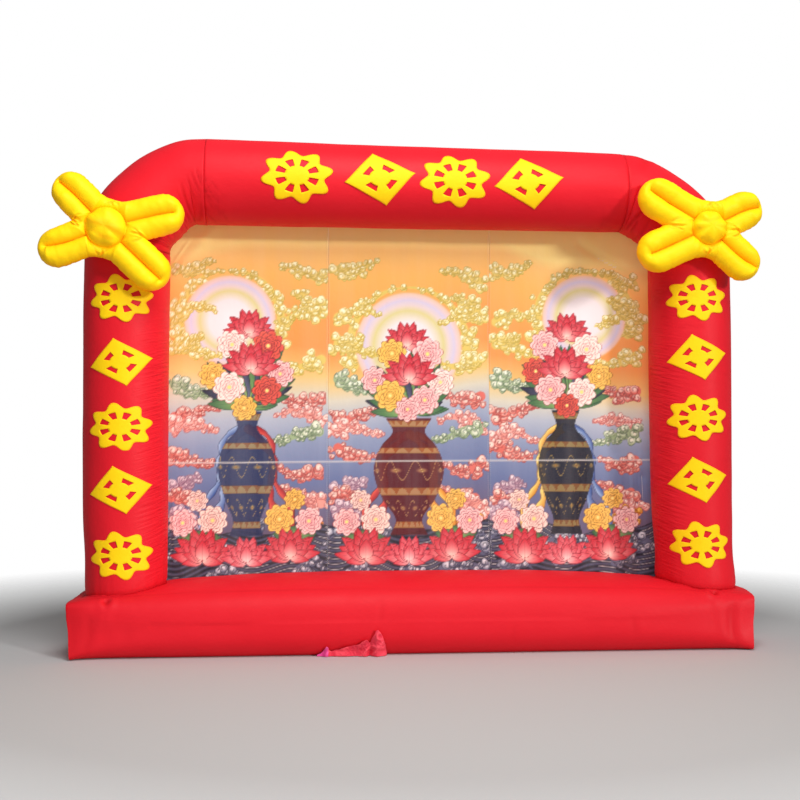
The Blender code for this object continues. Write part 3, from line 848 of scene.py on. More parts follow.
@dataclass
class Base:
    """The long bolster that the arch stands on."""

    length: float = 6.01
    depth: float = 0.94
    end_height: float = 0.475
    crest_height: float = 0.665
    belly: float = 0.08
    sink: float = 0.085
    end_puff: float = 0.045
    right_arch: float = 0.045
    foot_tuck: float = 0.045
    foot_spread: float = 0.14
    rings: int = 300
    sides: int = 164
    cap_rings: int = 16
    post_x: float = 2.579
    post_radius: float = 0.365
    dimples: tuple = ((-2.665, -0.452, 0.020), (2.640, -0.425, 0.030))

    def section(self, x: Array, turn: Array) -> tuple[Array, Array]:
        """A point of the section at x.

        Args:
            x: place along the base.
            turn: how far round it, from the front and over the top.

        Returns:
            Its y and z.
        """
        outward = np.abs(x) / (self.length / 2)
        swell = 1 - outward**6
        crown = 1 - outward**3.4
        half = self.depth / 2 + self.belly * swell
        height = self.end_height + (self.crest_height - self.end_height) * crown
        across, up = -np.cos(turn), np.sin(turn)

        def rounded(power: float) -> tuple[Array, Array]:
            """The section's rounded square of that power."""
            return (
                np.sign(across) * np.abs(across) ** (2 / power),
                np.sign(up) * np.abs(up) ** (2 / power),
            )

        round_across, round_up = rounded(2.5)
        square_across, square_up = rounded(14)
        sink = self.sink * swell
        round_z = np.maximum(0.0, (height - sink) / 2 + (height + sink) / 2 * round_up)
        square_z = height / 2 * (1 + square_up)
        y = half * (round_across * swell + square_across * (1 - swell))
        z = round_z * swell + square_z * (1 - swell)
        y = y * (1 + self.foot_spread * outward**12 * np.maximum(1 - 2 * z / height, 0.0))
        arch = self.right_arch * outward**10 * (1 - (y / half) ** 2)
        return y, z + np.where((x > 0) & (up > 0), arch, 0.0)

    def read(self, x: Array, known: Array, start: float, way: int) -> Array:
        """Reads half of the section at points.

        Args:
            x: places along the base.
            known: the coordinate that is known there.
            start: the turn where the half starts.
            way: 1 reads z where y is known, -1 reads y where z is known.

        Returns:
            The other coordinate of each point.
        """
        turns = np.linspace(start + 0.02, start + math.pi - 0.02, 121)
        pairs = zip(np.ravel(x), np.ravel(np.broadcast_to(known, np.shape(x))), strict=True)
        found = [np.interp(level, *self.section(here, turns)[::way]) for here, level in pairs]
        return np.reshape(found, np.shape(x))

    def top(self, x: Array, y: Array) -> Array:
        """Height of the upper surface over points (x, y)."""
        return self.read(x, y, 0.0, 1)

    def front(self, x: Array, z: Array) -> Array:
        """How far forward the front reaches at points (x, z)."""
        return self.read(x, z, -math.pi / 2, -1)

    def stations(self) -> Array:
        """Places of the rings, closer together where the posts stand."""
        fine = np.linspace(-self.length / 2, self.length / 2, 2001)
        weight = 1 + 1.1 * bell(np.abs(fine) - self.post_x,
                                0.45) + 2.0 * bell(np.abs(fine) - self.length / 2, 0.05)
        total = np.cumsum(weight)
        return np.interp(np.linspace(total[0], total[-1], self.rings), total, fine)

    def surface(self) -> Skin:
        """The plain closed form, ends and all."""
        # turns are spread by length round a middle section, so that the corners aren't starved
        fine = np.linspace(0, math.tau, 1441)
        y, z = self.section(np.full(1441, 2.0), fine)
        lengths = running(np.hypot(np.diff(y), np.diff(z)))
        turns = np.interp(np.linspace(0, lengths[-1], self.sides + 1)[:-1], lengths, fine)
        stations = self.stations()
        insets = np.linspace(1, 0, self.cap_rings + 1)[:-1] ** 1.3
        left = [(stations[0], inset) for inset in insets]
        right = [(stations[-1], inset) for inset in reversed(insets)]
        rings = left + [(x, 0.0) for x in stations] + right
        x = np.array([row[0] for row in rings])[:, None]
        inset = np.array([row[1] for row in rings])[:, None]
        y, z = self.section(x, turns[None, :])
        middle = self.section(x[:, 0], np.full(len(rings), math.pi / 2))[1][:, None] / 2
        tuck = self.foot_tuck * (np.abs(x) / (self.length / 2)) ** 12 * (1 - z / self.end_height)
        side = np.sign(x)
        puff = self.end_puff * (1 - (1 - inset) ** 2)
        x = x - side * tuck * (1 - inset) + side * puff
        points = xyz(x, y * (1 - inset), middle + (z - middle) * (1 - inset))
        skin = Skin(points, wraps=True, capped=True)
        skin.across = np.linspace(0, lengths[-1], self.sides + 1)[:-1]
        steps = np.linalg.norm(np.diff(points, axis=0), axis=2).max(axis=1)
        skin.along = running(steps)
        return skin

    def build(self) -> bpy.types.Object:
        """Makes the piece.

        Returns:
            The base.
        """
        skin = self.surface()
        x, y, z = np.moveaxis(skin.points, 2, 0)
        lift = np.zeros(x.shape)
        # painted shade, laid in the seams, dimples and creases, low on the front and at the left end
        fold = np.zeros(x.shape)
        on_top, crown = ease((z - 0.33) / 0.12), z > 0.3
        for side, seed in ((-1, 11), (1, 23)):
            away = np.hypot(x - side * (self.post_x + 0.015), y) - self.post_radius
            around = np.arctan2(y, x - side * self.post_x) * self.post_radius
            seam = Seam(seed, 0.006, 0.010, 0.045, 0.0060, 0.10, 0.012, 0.05)
            lift += seam.relief(away, around, math.tau * self.post_radius) * on_top * (away > -0.05)
            # painted shade in the foot seams and their gathers
            fold += seam.shade(away) * on_top
        for spot_x, spot_y, deep in self.dimples:
            away = np.hypot(x - spot_x, y - spot_y)
            lift -= deep * bell(away, 0.028) * crown
            lift += 0.35 * deep * bell(away - 0.055, 0.03) * crown
            # painted shade in each dimple
            fold += 0.9 * bell(away, 0.022) * crown
        # a seam runs along the front of the crown, and one round each end
        ridge = np.interp(x, (-2.9, -1.5, 0.0, 1.5, 2.9), (-0.40, -0.42, -0.43, -0.42, -0.40))
        seam = Seam(37, 0.0022, 0.006, 0.05, 0.0022, 0.05, 0.001, 0.04)
        away = y - ridge
        inner = ease((2.95 - np.abs(x)) / 0.05) * crown
        lift += seam.relief(away, x) * inner
        # painted shade along the crown's seam
        fold += 0.35 * seam.shade(away) * inner
        ends = self.length / 2 - np.abs(x)
        around = np.arctan2(z - 0.24, y) * 0.45
        seam = Seam(41, 0.003, 0.008, 0.05, 0.006, 0.09, 0.003, 0.05)
        lift += seam.relief(ends, around) * (np.abs(x) > 2.5)
        # painted shade round the end seams
        fold += 0.4 * seam.shade(ends) * (np.abs(x) > 2.5)
        lift += self.slack(x, y, z)
        for crease in self.creases():
            height, shade = crease.relief(x, z)
            front = ease((-y - 0.2) / 0.1)
            lift += height * front
            # painted shade along the front's creases
            fold += shade * front * 0.5
        lift *= ease(z / 0.03)
        # painted shade: darker towards the floor, and darker at the left end
        fold += 0.40 * (1 - ease(z / 0.20)) + 0.40 * ease((-x - 2.70) / 0.30)
        skin.push(lift)
        skin.points[..., 2] = np.maximum(skin.points[..., 2], 0.0)
        skin.colours["fold"] = np.clip(fold, 0, 1)
        piece = skin.to_object("base_bolster", Finish.RED.material)
        fit_padded(piece, "base")
        return piece

    def slack(self, x: Array, y: Array, z: Array) -> Array:
        """The long soft unevenness of the bolster's cloth."""
        broad, drawn = Noise(51), Noise(52)
        around = np.arctan2(z - 0.3, y) / math.pi
        uneven = 0.006 * broad.plane(x * 1.1, around * 2.0) + 0.0022 * drawn.plane(x * 4.0, around * 5.0)
        end = ease((np.abs(x) - 2.45) / 0.4)
        return uneven + 0.0028 * end * drawn.plane(x * 6.0, around * 2.5 + 7)

    def creases(self) -> list[Crease]:
        """Folds of the front, as (x, height)."""
        return [
            Crease((2.79, 0.06), (2.80, 0.44), 0.013, 0.040, 0.03),
            Crease((-2.80, 0.22), (-2.97, 0.20), 0.006, 0.012),
            Crease((-2.84, 0.06), (-2.80, 0.40), 0.005, 0.035, -0.02),
            Crease((-2.50, 0.10), (-2.47, 0.30), 0.002, 0.040),
            Crease((-0.35, 0.30), (-0.32, 0.50), 0.003, 0.020),
            Crease((0.80, 0.10), (0.83, 0.28), 0.003, 0.025),
            Crease((1.90, 0.12), (1.86, 0.34), 0.003, 0.025),
        ]


# ---------------------------------------------------------------- arch tube


POST_LEFT = Profile((
    (0.30, 0.362, 0.012), (0.60, 0.360, 0.013), (0.80, 0.358, 0.013), (1.15, 0.367, 0.005), (1.60, 0.372,
                                                                                             0.000),
    (2.40, 0.373, -0.003), (3.00, 0.376, -0.005), (3.44, 0.376, 0.000), (3.52, 0.376, 0.000),
))
POST_RIGHT = Profile((
    (0.30, 0.374, 0.036), (0.58, 0.366, 0.030), (0.78, 0.350, 0.024), (1.15, 0.360, 0.010), (1.60, 0.368,
                                                                                             0.003),
    (2.40, 0.374, 0.004), (3.00, 0.376, 0.005), (3.44, 0.374, 0.000), (3.52, 0.374, 0.000),
))
BEND_LEFT = Profile((
    (0, 0.570, 0.376), (20, 0.540, 0.384), (45, 0.506, 0.384), (60, 0.520, 0.376), (75, 0.540, 0.372),
    (90, 0.570, 0.376),
))
BEND_RIGHT = Profile((
    (0, 0.570, 0.374), (20, 0.542, 0.368), (45, 0.512, 0.355), (60, 0.507, 0.353), (75, 0.525, 0.354),
    (84, 0.548, 0.352), (90, 0.570, 0.350),
))
HEADER_RADII = Profile(((-1.88, 0.384), (-1.2, 0.381), (-0.4, 0.375), (0.4, 0.371), (1.2, 0.366),
                        (1.92, 0.362)))


@dataclass
class ArchTube:
    """The air tube: two posts, two elbows and the header, sewn end to end.

    Attributes:
        post_x: the posts' axes, each side of the middle.
        post_top: height of the seam between post and elbow.
        bend: the elbows' radius.
        header_z: height of the header's axis at its left and right bends.
        header_ends: the header's seams.
        columns: points round the tube.
        pitch: distance between an elbow's rings.
        post_rings: rings of a post, as a share of those at that pitch.
        header_rings: the same for the header.
    """

    post_x: float = 2.579
    post_top: float = 3.52
    bend: float = 0.57
    header_z: Pair = (4.185, 4.156)
    header_ends: Pair = (-1.88, 1.92)
    columns: int = 160
    pitch: float = 0.0145
    post_rings: float = 0.85
    header_rings: float = 0.72

    def header_axis(self, x: Array) -> Array:
        """Height of the header's axis at x."""
        reach = self.post_x - self.bend
        return self.header_z[0] + (self.header_z[1] - self.header_z[0]) * (x + reach) / (2 * reach)

    def bend_centre(self, side: int) -> Pair:
        """Middle of an elbow's bend, -1 on the left and 1 on the right."""
        return side * (self.post_x - self.bend), self.header_z[side > 0] - self.bend

    def post_axis(self, side: int, z: Array) -> tuple[Array, Array]:
        """The post's axis and radius at heights z.

        Args:
            side: -1 on the left, 1 on the right.
            z: heights.

        Returns:
            The axis's x, and the radius.
        """
        profile = POST_LEFT if side < 0 else POST_RIGHT
        return side * self.post_x + profile.at(z, 2), profile.at(z, 1)

    def elbow_axis(self, side: int) -> Array:
        """Rows of (x, z, radius) up from the post's seam and round to the header's."""
        profile = BEND_LEFT if side < 0 else BEND_RIGHT
        centre_x, centre_z = self.bend_centre(side)
        angles = np.linspace(0, 90, 61)
        turn, reach = np.radians(angles), profile.at(angles, 1)
        rows = np.stack([centre_x + side * reach * np.cos(turn), centre_z + reach * np.sin(turn),
                         profile.at(angles, 2)], 1)
        foot_x, foot_r = self.post_axis(side, self.post_top)
        end = self.header_ends[side > 0]
        rows = np.vstack([(foot_x, self.post_top, foot_r), rows,
                          (end, self.header_axis(end), HEADER_RADII.at(end))])
        lengths = running(np.hypot(np.diff(rows[:, 0]), np.diff(rows[:, 1])))
        even = np.linspace(0, lengths[-1], round(lengths[-1] / self.pitch) + 1)
        smooth = np.stack([np.interp(even, lengths, rows[:, column]) for column in range(3)], axis=1)
        for _ in range(4):
            smooth[1:-1] = (smooth[:-2] + 2 * smooth[1:-1] + smooth[2:]) / 4
        return smooth

    def ring_turns(self) -> Array:
        """Angles round the tube from its front, towards its outer side."""
        return np.arange(self.columns) / self.columns * math.tau

    def around(self) -> Array:
        """Metres round the tube from its front, less than 0 towards its inner side."""
        return wrapped(self.ring_turns())[None, :] * TUBE_RADIUS

    def post_surface(self, side: int, base: Base) -> Skin:
        """A post's cloth, from just under the base's crown to its seam."""
        turns = self.ring_turns()[None, :]
        foot = np.full((1, self.columns), 0.55)
        for _ in range(4):
            axis, radius = self.post_axis(side, foot)
            foot = base.top(axis + side * radius * np.sin(turns), -radius * np.cos(turns)) - 0.014
        share = np.linspace(0, 1, round(POST_LENGTH / self.pitch * self.post_rings))[:, None]
        z = foot + (self.post_top - foot) * share
        axis, radius = self.post_axis(side, z)
        points = xyz(axis + side * radius * np.sin(turns), -radius * np.cos(turns), z)
        return self.as_skin(points, POST_LENGTH)

    def elbow_surface(self, side: int) -> Skin:
        """An elbow's cloth, from the post's seam to the header's."""
        rows = self.elbow_axis(side)
        way = np.gradient(rows[:, :2], axis=0)
        way[0], way[-1] = (0, 1), (-side, 0)
        way /= np.linalg.norm(way, axis=1, keepdims=True)
        out_x, out_z = side * way[:, 1:2], -side * way[:, 0:1]
        turns = self.ring_turns()[None, :]
        reach = rows[:, 2:3]
        x = rows[:, 0:1] + reach * np.sin(turns) * out_x
        z = rows[:, 1:2] + reach * np.sin(turns) * out_z
        return self.as_skin(xyz(x, -reach * np.cos(turns), z), len(rows) * self.pitch)

    def header_surface(self) -> Skin:
        """The header's cloth between its two seams."""
        start, end = self.header_ends
        x = np.linspace(start, end, round((end - start) / self.pitch * self.header_rings))[:, None]
        turns = self.ring_turns()[None, :]
        radius = HEADER_RADII.at(x)
        z = self.header_axis(x) + radius * np.sin(turns)
        return self.as_skin(xyz(x, -radius * np.cos(turns), z), end - start)

    def as_skin(self, points: Array, length: float) -> Skin:
        """A closed skin with its weave laid round and along the tube."""
        skin = Skin(points, wraps=True, capped=True)
        skin.across = self.ring_turns() * TUBE_RADIUS
        skin.along = np.linspace(0, length, len(points))
        return skin

    def work(self, skin: Skin, seams: Sequence[tuple[float, Seam]], creases: Sequence[Crease],
             seed: int) -> None:
        """Gathers the cloth at its seams, creases it, makes it uneven and paints shade in its seams and
        creases.

        Args:
            skin: the tube's surface.
            seams: places along it and the seam there.
            creases: folds, as (place round in radians from the front, place along).
            seed: fixes the unevenness.
        """
        turns = self.ring_turns()
        length = TUBE_RADIUS * turns[None, :]
        along = skin.along[:, None]
        period = math.tau * TUBE_RADIUS
        lift = np.zeros(skin.points.shape[:2])
        fold = np.zeros(lift.shape)
        # painted shade in the seams and along the creases
        for place, seam in seams:
            lift += seam.relief(along - place, length + along * 0, period)
            fold += seam.shade(along - place + 0 * length)
        around = self.around() + along * 0
        for crease in creases:
            height, shade = crease.relief(around, along + 0 * around)
            lift += height
            fold += shade
        broad, fine = Noise(seed), Noise(seed + 1)
        lift += 0.0035 * broad.plane(length / period * 6, along * 1.6, 6)
        lift += 0.0012 * fine.plane(length / period * 22, along * 5.0, 22)
        skin.push(lift)
        skin.colours["fold"] = np.clip(fold, 0, 1)

    def build(self, base: Base) -> list[bpy.types.Object]:
        """Makes the five pieces.

        Args:
            base: the base that the posts stand on.

        Returns:
            Posts, elbows and header.
        """
        pieces = []
        for side, word in ((-1, "left"), (1, "right")):
            post = self.post_surface(side, base)
            foot = Seam(60 + side, 0.004, 0.010, 0.042, 0.0050, 0.11, 0.010, 0.05)
            top = Seam(64 + side, 0.0025, 0.006, 0.05, 0.0020, 0.05, 0.003, 0.04)
            self.work(post, ((0.012, foot), (POST_LENGTH, top)), self.post_creases(side), 70 + side)
            post.colours["slack"] = self.post_slack(post)
            piece = post.to_object(f"post_{word}_tube", Finish.RED.material)
            fit_padded(piece, f"post_{word}")
            pieces.append(piece)
            elbow = self.elbow_surface(side)
            far = float(elbow.along[-1])
            self.work(elbow, ((0.0, top), (far, self.header_seam(side))), self.elbow_creases(side), 80 + side)
            piece = elbow.to_object(f"elbow_{word}_tube", Finish.RED.material)
            fit_padded(piece, f"elbow_{word}")
            pieces.append(piece)
        header = self.header_surface()
        seams = ((0.0, self.header_seam(-1)), (HEADER_LENGTH, self.header_seam(1)))
        self.work(header, seams, self.header_creases(), 90)
        piece = header.to_object("header_tube", Finish.RED.material)
        fit_padded(piece, "header")
        return [*pieces, piece]

    def post_slack(self, skin: Skin) -> Array:
        """Where a post's cloth is slack: in patches on the side that faces the backdrop."""
        around = self.around()
        patches = 0.65 + 0.7 * Noise(150).plane(around * 4, skin.along[:, None] * 1.6)
        return np.clip(patches, 0, 1) * bell(around + 0.46, 0.22)

    def header_seam(self, side: int) -> Seam:
        """The seam between an elbow and the header."""
        if side < 0:
            return Seam(66, 0.0003, 0.005, 0.045, 0.0018, 0.07, 0.0006, 0.04, 0.03)
        return Seam(68, 0.0012, 0.006, 0.06, 0.0036, 0.09, 0.005, 0.05, 0.30)

    def post_creases(self, side: int) -> list[Crease]:
        """A post's folds, as (metres round from the front to the outer side, metres up)."""
        pick = np.random.default_rng(100 + side).uniform
        creases = []
        for _ in range(34):
            # fine slanting pulls on the side that faces the backdrop
            up = pick(0.15, 2.7)
            start = pick(-0.60, -0.30)
            size = pick(0.10, 0.26)
            creases.append(Crease((start, up), (start + size, up + size * pick(-0.35, 0.15)),
                                  pick(0.0010, 0.0024), pick(0.008, 0.014), pick(-0.02, 0.02)))
        for _ in range(12):
            up = pick(0.1, 2.8)
            start = pick(-0.3, 0.7)
            size = pick(0.15, 0.35)
            creases.append(Crease((start, up), (start + size, up + pick(-0.05, 0.05)),
                                  pick(0.0006, 0.0014), pick(0.012, 0.022), pick(-0.02, 0.02)))
        return creases

    def elbow_creases(self, side: int) -> list[Crease]:
        """An elbow's folds: bunched on the inner side, fading over the outer."""
        pick = np.random.default_rng(120 + side).uniform
        creases = []
        count = 15 if side < 0 else 11
        far = len(self.elbow_axis(side)) * self.pitch
        for step in range(count):
            up = 0.10 + (far - 0.14) * (step + pick(-0.3, 0.3)) / count
            inner = pick(-0.62, -0.50)
            front = pick(-0.30, -0.05)
            creases.append(Crease((inner, up), (front, up + pick(-0.03, 0.05)),
                                  pick(0.0025, 0.0065), pick(0.009, 0.017), pick(-0.03, 0.03)))
            creases.append(Crease((-inner - 2.32 + 1.16, up), (-0.9, up),
                                  pick(0.003, 0.006), pick(0.010, 0.018)))
        if side < 0:
            creases += [
                Crease((0.03, far - 0.115), (-0.18, far - 0.02), 0.0060, 0.0065, 0.012),
                Crease((0.05, far - 0.065), (-0.12, far - 0.004), 0.0070, 0.0060, 0.010),
                Crease((-0.02, far - 0.155), (-0.24, far - 0.075), 0.0050, 0.0070, 0.014),
                Crease((0.02, far - 0.030), (-0.10, far + 0.010), 0.0060, 0.0060, 0.006),
            ]
        if side > 0:
            creases += [
                Crease((-0.56, far - 0.06), (0.18, far - 0.19), 0.011, 0.016, 0.05),
                Crease((-0.52, far - 0.22), (-0.05, far - 0.30), 0.009, 0.014, 0.04),
                Crease((0.15, far - 0.10), (0.55, far - 0.12), 0.005, 0.020, 0.0),
            ]
        return creases

    def header_creases(self) -> list[Crease]:
        """The header's folds beside its seams, as (metres round, metres along)."""
        pick = np.random.default_rng(140).uniform
        creases = [
            Crease((-0.08, 0.0), (-0.23, 0.055), 0.0070, 0.0060, 0.008),
            Crease((-0.02, 0.01), (-0.22, 0.095), 0.0060, 0.0060, 0.010),
            Crease((-0.04, 0.06), (-0.16, 0.14), 0.0045, 0.0060, 0.006),
        ]
        for _ in range(16):
            start = pick(-0.58, -0.15)
            along = pick(0.02, 0.20)
            creases.append(Crease((start, along), (start + pick(0.1, 0.2), along - pick(0.02, 0.10)),
                                  pick(0.0012, 0.0030), pick(0.008, 0.012)))
        for _ in range(10):
            start = pick(-0.55, 0.3)
            along = pick(3.55, 3.78)
            creases.append(Crease((start, along), (start + pick(0.1, 0.2), along + pick(-0.04, 0.04)),
                                  pick(0.0010, 0.0024), pick(0.009, 0.014)))
        return creases


# ---------------------------------------------------------------- print of the backdrop


@dataclass(frozen=True)
class Inks:
    """Three printing colours of a figure: its light, its body and its outline, as 0..255."""

    light: Colour
    body: Colour
    line: Colour


class Ink(Enum):
    """The print's named sets of inks."""

    CREAM = Inks((255, 250, 214), (226, 196, 96), (170, 140, 44))
    SAGE = Inks((248, 246, 222), (160, 178, 132), (66, 84, 62))
    ROSE = Inks((255, 232, 214), (224, 110, 96), (132, 44, 44))
    MAUVE = Inks((246, 226, 226), (190, 146, 160), (104, 66, 90))
    SLATE = Inks((232, 230, 232), (96, 98, 122), (26, 26, 40))
    GOLD = Inks((255, 226, 130), (214, 140, 40), (120, 66, 16))
    LOTUS = Inks((255, 206, 190), (208, 34, 52), (126, 12, 26))
    PEONY = Inks((255, 216, 206), (222, 70, 84), (138, 20, 36))
    BLUSH = Inks((255, 240, 226), (240, 156, 140), (160, 60, 60))
    LEAF = Inks((160, 190, 110), (58, 104, 62), (22, 46, 34))
    BLUE = Inks((168, 188, 218), (58, 84, 146), (22, 30, 66))
    NIGHT = Inks((118, 124, 150), (34, 34, 58), (10, 10, 20))
    CRIMSON = Inks((232, 90, 70), (160, 22, 34), (70, 6, 14))
    AMBER = Inks((255, 206, 96), (220, 128, 30), (120, 58, 12))


class Print:
    """Colours of the cloth's points, laid one figure over the other."""

    edge = 0.008

    def __init__(self, x: Array, z: Array) -> None:
        """Starts with bare cloth.

        Args:
            x: the points' places across.
            z: the points' places up.
        """
        self.x, self.z = x.ravel(), z.ravel()
        self.colour = np.full((self.x.size, 3), 235.0)

    def near(self, centre: Pair, reach: float) -> tuple[Array, Array, Array]:
        """The points in a square round centre, and how far right of it and above it they are."""
        index = np.nonzero((np.abs(self.x - centre[0]) < reach) & (np.abs(self.z - centre[1]) < reach))[0]
        return index, self.x[index] - centre[0], self.z[index] - centre[1]

    def lay(self, index: Array, cover: Array, colour: Array | Colour) -> None:
        """Lays a colour over points.

        Args:
            index: which points.
            cover: how much of it each takes, 0 to 1.
            colour: one colour, or one for each point.
        """
        share = np.clip(cover, 0, 1)[:, None]
        self.colour[index] = self.colour[index] * (1 - share) + np.asarray(colour, float) * share

    def mark(self, distance: Array, width: float) -> Array:
        """Cover of a line from the distance to its middle."""
        return np.clip((width - np.abs(distance)) / self.edge + 0.5, 0, 1)

    def shape(self, index: Array, past: Array, tone: Array, inks: Inks, outline: float = 0.003) -> Array:
        """Fills and outlines a shape.

        Args:
            index: which points.
            past: how far each lies past the shape's edge.
            tone: 0 for the light ink, 1 for the body.
            inks: its colours.
            outline: half width of its outline.

        Returns:
            The cover of its inside.
        """
        tone = np.clip(tone, 0, 1)[:, None]
        cover = np.clip(0.5 - past / self.edge, 0, 1)
        self.lay(index, cover, np.asarray(inks.light) * (1 - tone) + np.asarray(inks.body) * tone)
        self.lay(index, self.mark(past, outline) * 0.85, inks.line)
        return cover

    def sky(self, stops: Sequence[tuple[float, Colour]], lean: float, seed: int) -> None:
        """Lays the ground.

        Args:
            stops: heights, rising, and their colours.
            lean: how far the bands rise from left to right.
            seed: fixes the drift of the bands.
        """
        drift = Noise(seed)
        height = self.z - lean * self.x + 0.12 * drift.plane(self.x * 1.4, self.z * 1.1)
        self.colour[:] = at_stops(height, stops)

    def disc(self, centre: Pair, radius: float, bands: Sequence[tuple[float, Colour]]) -> None:
        """A pale disc of soft rings.

        Args:
            centre: its middle.
            radius: its radius.
            bands: shares of the radius, rising, and their colours.
        """
        index, right, up = self.near(centre, radius * 1.1)
        away = np.hypot(right, up)
        self.lay(index, np.clip(0.5 - (away - radius) / 0.02, 0, 1), at_stops(away / radius, bands))

    def petal(self, foot: Pair, turn: float, length: float, width: float, inks: Inks,
              blunt: float = 0.7) -> None:
        """One pointed petal or leaf.

        Args:
            foot: where it starts.
            turn: the way it points, in radians from +X.
            length: its length.
            width: its half width.
            inks: its colours, body at the tip and light at the foot.
            blunt: how far along it is widest; less is nearer the foot.
        """
        index, right, up = self.near(foot, length * 1.15)
        along = (right * math.cos(turn) + up * math.sin(turn)) / length
        off = -right * math.sin(turn) + up * math.cos(turn)
        inner = np.clip(along, 0, 1)
        half = width * np.sin(math.pi * inner**blunt) ** 0.8
        past = np.abs(off) - half + length * np.abs(along - inner)
        cover = self.shape(index, past, inner * 1.2 - 0.15 + 0.25 * np.abs(off) / width, inks, 0.0025)
        self.lay(index, self.mark(off, 0.001) * cover * 0.35 * (inner < 0.85), inks.line)

    def curl(self, centre: Pair, radius: float, inks: Inks, spin: float) -> None:
        """One curl of a cloud or of foam: a lit disc with a hook of shade in it.

        Args:
            centre: its middle.
            radius: its radius.
            inks: its colours.
            spin: where its hook starts; less than 0 turns it the other way.
        """
        index, right, up = self.near(centre, radius * 1.4)
        away = np.hypot(right, up) / radius
        angle = np.arctan2(up, right) * math.copysign(1, spin)
        edge = 1 + 0.10 * np.cos(3 * angle + spin)
        cover = self.shape(index, (away - edge) * radius, 0.1 + 0.8 * away**2 - 0.5 * up / radius, inks,
                           0.0015)
        wind = (angle + abs(spin)) / math.tau % 1.0
        hook = np.clip(1 - np.abs(away - 0.25 - 0.65 * wind) * radius / 0.009, 0, 1) * (wind < 0.8)
        self.lay(index, hook * 0.7 * cover, inks.line)

    def bank(self, way: Sequence[Pair], spread: float, count: int, inks: Inks, seed: int) -> None:
        """Curls heaped along a line, smaller towards its end.

        Args:
            way: the points it follows.
            spread: how far off the line they lie at its start.
            count: how many curls.
            inks: their colours.
            seed: fixes them.
        """
        rng = np.random.default_rng(seed)
        stations = np.linspace(0, 1, len(way))
        spots = []
        for _ in range(count):
            share = rng.uniform(0, 1) ** 1.3
            wide = spread * (1.0 - 0.75 * share)
            x = np.interp(share, stations, [p[0] for p in way]) + rng.uniform(-1, 1) * wide
            z = np.interp(share, stations, [p[1] for p in way]) + rng.uniform(-1, 1) * wide * 0.75
            spots.append((float(x), float(z), rng.uniform(0.020, 0.042) * (1.15 - 0.5 * share),
                          rng.uniform(0.5, 6)))
        middle = way[len(way) // 2]
        self.ribbon(way, spread * 0.45, Inks(inks.body, inks.body, inks.body), taper=True)
        for x, z, radius, spin in sorted(spots, key=lambda spot: spot[1]):
            self.curl((x, z), radius, inks, spin if x < middle[0] else -spin)

    def ribbon(self, way: Sequence[Pair], width: float, inks: Inks, taper: bool = False) -> None:
        """A flowing band.

        Args:
            way: the points it follows.
            width: its half width.
            inks: its colours.
            taper: whether it runs out to a point.
        """
        middle = (sum(p[0] for p in way) / len(way), sum(p[1] for p in way) / len(way))
        reach = max(max(abs(p[0] - middle[0]), abs(p[1] - middle[1])) for p in way) + 2 * width
        index = self.near(middle, reach)[0]
        best, along, side = np.full(index.size, 9.0), np.zeros(index.size), np.zeros(index.size)
        for step, (start, end) in enumerate(zip(way, way[1:], strict=False)):
            away, share = from_line(self.x[index], self.z[index], start, end)
            run, rise = end[0] - start[0], end[1] - start[1]
            turn = run * (self.z[index] - start[1]) - rise * (self.x[index] - start[0])
            closer = away < best
            best = np.where(closer, away, best)
            along = np.where(closer, (step + share) / (len(way) - 1), along)
            side = np.where(closer, np.sign(turn) * away, side)
        half = width * (np.clip(1 - along, 0, 1) ** 0.6 if taper else 0.8 + 0.2 * np.cos(along * 40))
        self.shape(index, best - half, 0.5 + 0.6 * side / width, inks, 0.002)

    def lotus(self, centre: Pair, size: float, inks: Inks) -> None:
        """An open lotus seen from the side.

        Args:
            centre: the foot of its petals.
            size: its half width.
            inks: its colours.
        """
        for reach, spread, count, width in ((0.92, 1.15, 7, 0.22), (1.0, 1.42, 6, 0.20),
                                            (0.80, 0.85, 5, 0.24),
                                            (0.62, 1.75, 8, 0.15)):
            for step in range(count):
                lean = spread * (2 * step / (count - 1) - 1)
                self.petal(centre, math.pi / 2 - lean, size * reach, size * width, inks, 0.62)
        self.petal(centre, math.pi / 2, size * 0.60, size * 0.22, inks, 0.62)

    def peony(self, centre: Pair, radius: float, inks: Inks, seed: int) -> None:
        """A full round blossom of scalloped layers.

        Args:
            centre: its middle.
            radius: its radius.
            inks: its colours.
            seed: fixes its scallops.
        """
        index, right, up = self.near(centre, radius * 1.3)
        away, angle = np.hypot(right, up), np.arctan2(up, right)
        rng = np.random.default_rng(seed)
        for layer, share in enumerate((1.0, 0.80, 0.60, 0.42, 0.26)):
            lobes = 9 - layer
            edge = radius * share * (0.80 + 0.20 * np.abs(np.cos(lobes * angle / 2 + rng.uniform(0, 6))))
            self.shape(index, away - edge, 1.15 - 1.5 * away / np.maximum(edge, 1e-4) * 0.8, inks, 0.002)
        self.lay(index, np.clip(0.5 - (away - radius * 0.12) / self.edge, 0, 1), Ink.GOLD.value.light)

    def pad(self, centre: Pair, radius: float, inks: Inks, lean: float) -> None:
        """A round water leaf with rays.

        Args:
            centre: its middle.
            radius: its half width.
            inks: its colours.
            lean: its height out of its width.
        """
        index, right, up = self.near(centre, radius * 1.2)
        away, angle = np.hypot(right, up / lean), np.arctan2(up / lean, right)
        cover = self.shape(index, away - radius * (1 + 0.05 * np.sin(9 * angle)), away / radius, inks)
        rays = np.abs((angle / math.tau * 12) % 1.0 - 0.5) * away * 0.5
        self.lay(index, np.clip(1 - rays / 0.006, 0, 1) * cover * (away > 0.15 * radius) * 0.5, inks.line)

